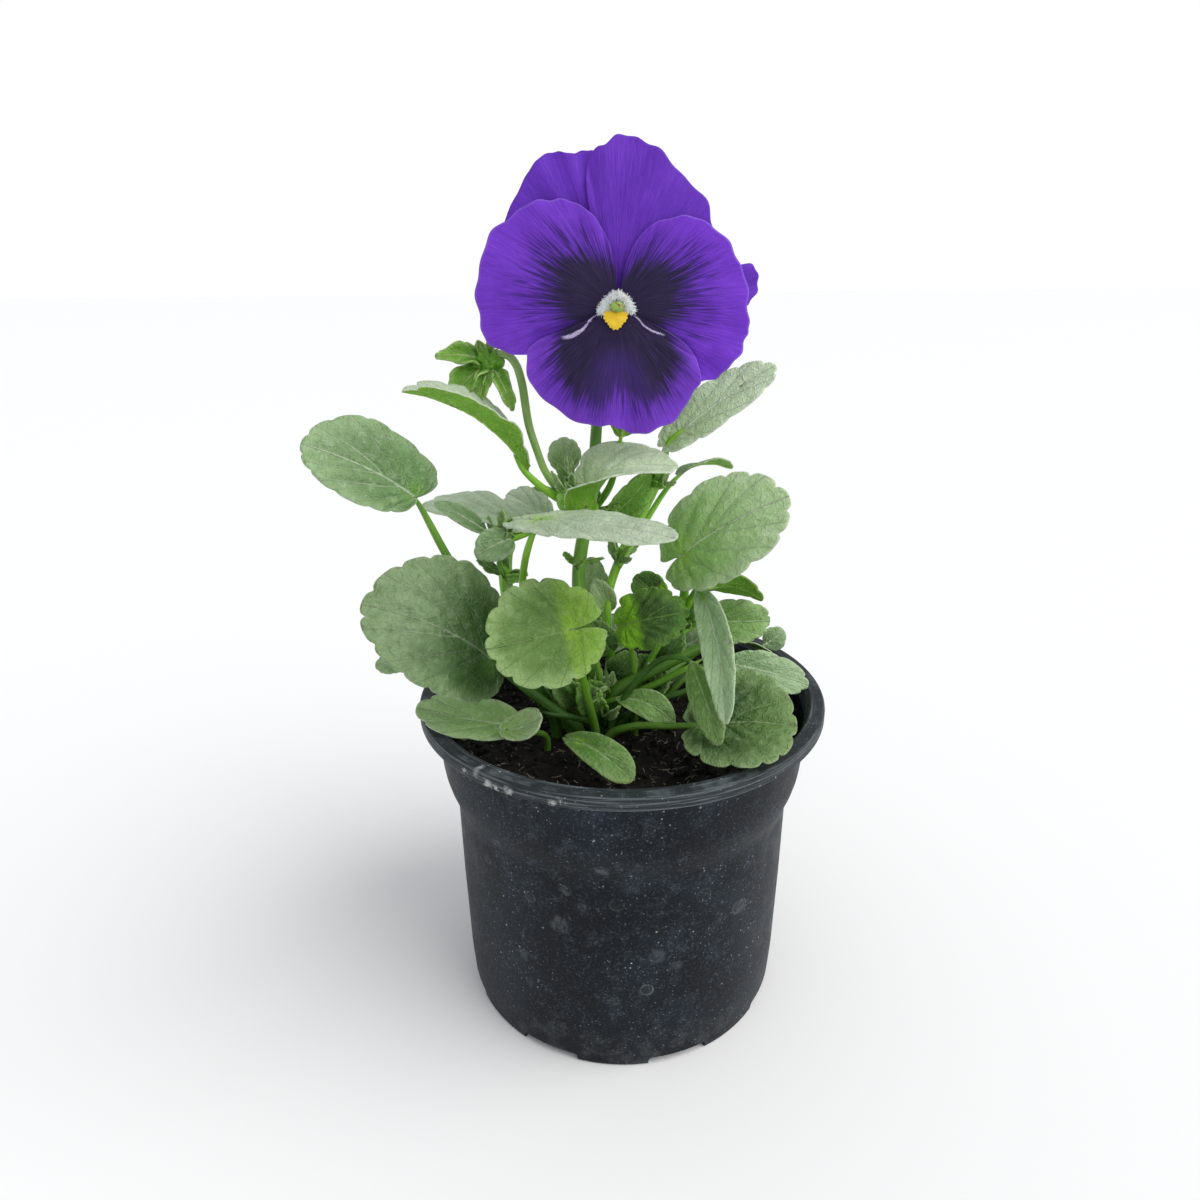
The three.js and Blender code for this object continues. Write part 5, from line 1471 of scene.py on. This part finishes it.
def petal_surface():
    """A node group: velvet, violet with fine darker lines that fan out and fork. Blotch turns on the
    dark blotch at the base, and Lips the violet in its middle and the pale lips, painted highlights where the
    top edge rolls up."""
    numbers, colours = ("Streaks", "Blotch", "Lips"), ("Violet", "Edge", "Dark")
    group, given, place = new_group("petal_surface", numbers, colours)
    violet, edge, dark, streaks, blotched, lips = given
    turn, reach, beyond = recorded(group, "fan")
    to_edge, _, _ = recorded(group, "rim")
    rays = vector_from(group, turn, times(group, reach, 0.0022))
    broad_lines = grain(group, rays, 9, 3, 0.6)
    fine_lines = grain(group, rays, 34, 4, 0.65)
    hair_lines = grain(group, rays, 75, 2, 0.6)
    velvet = grain(group, place, 3000, 2, 0.6)
    tint = blend(group, ease(group, grain(group, place, 110, 4, 0.6), 0.3, 0.72), violet, edge)
    tint = blend(group, ease(group, to_edge, 0.8, 1.0, 0, 0.45), tint, edge)
    tint = coat(group, ease(group, beyond, 11, -1, 0, 0.45), tint, "#4c2498")
    lined = times(group, ease(group, fine_lines, 0.5, 0.7), ease(group, to_edge, 1.0, 0.55, 0.25, 0.7))
    tint = blend(group, times(group, lined, streaks), tint, dark)
    tint = blend(group, times(group, ease(group, hair_lines, 0.5, 0.68), 0.22), tint, dark)
    tint = coat(group, times(group, ease(group, hair_lines, 0.46, 0.3), 0.18), tint, "#9055e6")
    forks = vector_from(group, turn, times(group, reach, 0.0018))
    inner = ease(group, to_edge, 1.0, 0.7, 0.2, 1)
    for scale, steps, strength in ((11, 7, 0.85), (24, 5, 0.5)):
        level = times(group, grain(group, forks, scale, 2, 0.45), steps)
        off = calc(group, "ABSOLUTE", calc(group, "SUBTRACT", level, calc(group, "ROUND", level)))
        off = calc(group, "DIVIDE", off, ease(group, beyond, -2, 17, 0.24, 0.07))
        line = calc(group, "SUBTRACT", 1, ease(group, off, 0.3, 1))
        line = times(group, line, ease(group, beyond, 19, 0, 0.06, strength), inner)
        tint = coat(group, line, tint, "#2d1266")
    ragged = stray(group, beyond, fine_lines, calc(group, "MULTIPLY_ADD", lips, 8, -20))
    ragged = stray(group, ragged, broad_lines, calc(group, "MULTIPLY_ADD", lips, 5, -12))
    blotch_tone = blend(group, ease(group, hair_lines, 0.42, 0.7), paint("#1a1236"), paint("#33244f"))
    inside = times(group, ease(group, calc(group, "ABSOLUTE", turn), 0.6, 0.1), ease(group, reach, 7, 15))
    inside = times(group, inside, ease(group, fine_lines, 0.35, 0.6, 0.35, 0.85), lips)
    blotch_tone = coat(group, inside, blotch_tone, "#43267c")
    tint = blend(group, times(group, ease(group, ragged, 2.4, -3.2), blotched), tint, blotch_tone)
    # Painted highlight: a thin pale line right along the edge of the blotched petals.
    tint = coat(group, times(group, ease(group, to_edge, 0.98, 0.993, 0, 0.25), blotched), tint, "#a184e0")
    curl = stray(group, turn, velvet, 0.08)
    # Painted highlights where the lower petal's top edge rolls up, one for each side.
    for leaves, bends, first, second, flattens, ends, more, wide, last in LIPS:
        line = calc(group, "ADD", ease(group, reach, leaves, bends, first, second),
                    ease(group, reach, flattens, ends, 0, more))
        off = times(group, calc(group, "ABSOLUTE", calc(group, "SUBTRACT", curl, line)), reach)
        lip = ease(group, calc(group, "DIVIDE", off, ease(group, reach, 6, 12, 0.22, wide)), 1, 0.5)
        lip = times(group, lip, ease(group, reach, 4, 5.5), ease(group, reach, last, last - 1.5))
        lip = times(group, lip, ease(group, velvet, 0.3, 0.6, 0.6, 0.95), lips)
        tint = coat(group, lip, tint, "#c8b9e2")
    height = calc(group, "MULTIPLY_ADD", fine_lines, 1.6, times(group, velvet, 0.5))
    put_out(group, Color=tint, Roughness=ease(group, fine_lines, 0.3, 0.7, 0.52, 0.7), Height=height)
    return group


PETAL_SURFACE = petal_surface()


def petal_finish(name, violet, edge, dark, streaks, blotch=0, lips=0):
    """One petal's velvet, from its violet, the violet at its edge and the dark of its lines."""
    constants = {"Subsurface_Weight": 0.1, "Subsurface_Scale": 0.0008, "Specular_IOR_Level": 0.25}
    constants.update(Sheen_Weight=0.2, Sheen_Roughness=0.45, Sheen_Tint=paint("#a27cf0"))
    material, tree, shader, _ = new_finish(name, 0.62, Subsurface_Radius=(0.6, 0.3, 1), **constants)
    given = {"Violet": paint(violet), "Edge": paint(edge), "Dark": paint(dark)}
    given.update({"Streaks": streaks, "Blotch": blotch, "Lips": lips})
    clothe(tree, shader, PETAL_SURFACE, given, 0.2)
    return material


PETAL_FINISHES = dict(
    petal_upper_left=petal_finish("petal_upper_left_velvet", "#6029b2", "#6a30bd", "#451a92", 0.5),
    petal_upper_right=petal_finish("petal_upper_right_velvet", "#5e27ae", "#682dba", "#411a8a", 0.55),
    petal_left=petal_finish("petal_left_velvet", "#6c2fc0", "#7a3bd0", "#3a1674", 0.75, blotch=1),
    petal_right=petal_finish("petal_right_velvet", "#6a2cbe", "#7433ca", "#36146e", 0.75, blotch=1),
    petal_lower=petal_finish("petal_lower_velvet", "#6e30c4", "#8846dc", "#331468", 0.6, blotch=1, lips=1),
)

for name, petal in PETALS.items():
    columns, rows = 260, 64
    s, r = np.meshgrid(np.linspace(0, 1, columns + 1), np.linspace(0, 1, rows + 1))
    places, fan, rim = petal_places(petal, s, r)
    sheet = laid_grid("velvet_" + name, places)
    record_on(sheet, "fan", fan)
    record_on(sheet, "rim", rim)
    sheet.data.materials.append(PETAL_FINISHES[name])
    sew(sheet, 0.02)
    bpy.ops.object.shade_smooth()
    facing = sum((p.normal.y * p.area for p in sheet.data.polygons), 0.0)
    if facing > 0:
        sheet.data.flip_normals()
    wall = sheet.modifiers.new("wall", "SOLIDIFY")
    wall.thickness = PETAL_THICKNESS * MM
    wall.offset = -1
    bpy.ops.object.modifier_apply(modifier="wall")
    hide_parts(name)
    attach(sheet, "root")

# ---- Throat ----
# Two tufts of short white hairs over the opening, the green stigma between them, and the velvety
# yellow heart below it on the lower petal.

hair_white, tree, shader, place = new_finish(
    "beard_white", 0.7, Subsurface_Weight=0.5, Subsurface_Scale=0.002, Sheen_Weight=0.6
)
tint = blend(tree, ease(tree, grain(tree, place, 900, 2), 0.25, 0.5), paint("#d8cce0"), paint("#fffdf8"))
tree.links.new(tint, shader.inputs["Base Color"])
relief(tree, shader, grain(tree, place, 4000, 2), 0.05 * MM)

beard_front, lower_front, hair_tries = 3.3, 3, 520
for name, radii, lean, at in (
    ("beard_left", (3.4, 0.8, 1.2), 46, (-2.3, 1.1)),
    ("beard_right", (3.2, 0.8, 1.2), -49, (2.1, 1.2)),
):
    draw = random.Random(len(name))
    centre = Vector(in_bloom(*at, beard_front))
    turn = Matrix.Rotation(math.radians(-lean), 4, "Y")
    pad = round_piece(name + "_pad", radii, (0, 0, 0), hair_white)
    pad.data.transform(Matrix.Translation(centre * MM) @ turn)
    bpy.ops.object.select_all(action="DESELECT")
    bpy.ops.mesh.primitive_cone_add(vertices=4, radius1=1, radius2=0.3, depth=1, end_fill_type="TRIFAN")
    hair = bpy.context.object
    hair_places = []
    for _ in range(hair_tries):
        along, out = draw.uniform(-1, 1), draw.uniform(-1, 1)
        if along * along + out * out > 1:
            continue
        depth = math.sqrt(1 - along * along - out * out)
        foot = Vector((along * radii[0], -depth * radii[1], out * radii[2]))
        aim = Vector((along * 0.9 + draw.uniform(-0.5, 0.5), -0.8, out * 1.3 + draw.uniform(-0.5, 0.5)))
        aim.normalize()
        length = draw.uniform(0.6, 1.4)
        stretch = Matrix.Diagonal((0.1, 0.1, length, 1))
        tilt = aim.to_track_quat("Z", "Y").to_matrix().to_4x4()
        spot = Matrix.Translation(centre) @ turn @ Matrix.Translation(foot + aim * length * 0.3)
        hair_places.append(Matrix.Scale(MM, 4) @ spot @ tilt @ stretch)
    hairs = scatter(name + "_hairs", hair, hair_places)
    hairs.data.materials.append(hair_white)
    tuft = joined("tuft_" + name, [pad, hairs])
    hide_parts(name)
    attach(tuft, "root")

heart_yellow, tree, shader, place = new_finish("heart_yellow", 0.6, Sheen_Weight=0.2)
tint = blend(tree, ease(tree, grain(tree, place, 500, 3), 0.3, 0.7), paint("#e8bc10"), paint("#f4d22c"))
tree.links.new(tint, shader.inputs["Base Color"])
relief(tree, shader, grain(tree, place, 3500, 2), 0.1 * MM)
heart_at = in_bloom(-0.4, -2.7, lower_front + 0.9)
heart_width, heart_height = 2.95, 2.5
heart = round_piece("yellow_heart", (heart_width, 0.4, heart_height), heart_at, heart_yellow, 96, 48)
shield = [
    (-1, 0.62), (0, 0.7), (1, 0.64), (1.02, 0.25), (0.62, -0.42), (0.1, -1), (-0.14, -1), (-0.66, -0.4),
    (-1.02, 0.22),
]
bearings = np.array([math.atan2(up, across) for across, up in shield])
reaches = np.array([math.hypot(up, across) for across, up in shield])
order = np.argsort(bearings)
for corner in heart.data.vertices:
    across = (corner.co.x - heart_at[0] * MM) / (heart_width * MM)
    up = (corner.co.z - heart_at[2] * MM) / (heart_height * MM)
    bearing = math.atan2(up, across)
    grow = np.interp(bearing, bearings[order], reaches[order], period=2 * math.pi)
    grow += 0.05 * math.sin(17 * bearing)
    corner.co.x = (heart_at[0] + heart_width * grow * across) * MM
    corner.co.z = (heart_at[2] + heart_height * grow * up) * MM
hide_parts("throat_heart")
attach(heart, "root")

stigma_green, tree, shader, place = new_finish("stigma_green", 0.45)
tint = blend(tree, ease(tree, grain(tree, place, 1100, 2), 0.52, 0.66), paint("#8fae4e"), paint("#7a3f24"))
tree.links.new(tint, shader.inputs["Base Color"])
relief(tree, shader, grain(tree, place, 2500, 2), 0.08 * MM)
stigma = round_piece("green_stigma", (2, 1, 1.35), in_bloom(0, 0.2, lower_front + 1.35), stigma_green)
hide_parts("stigma")
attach(stigma, "root")
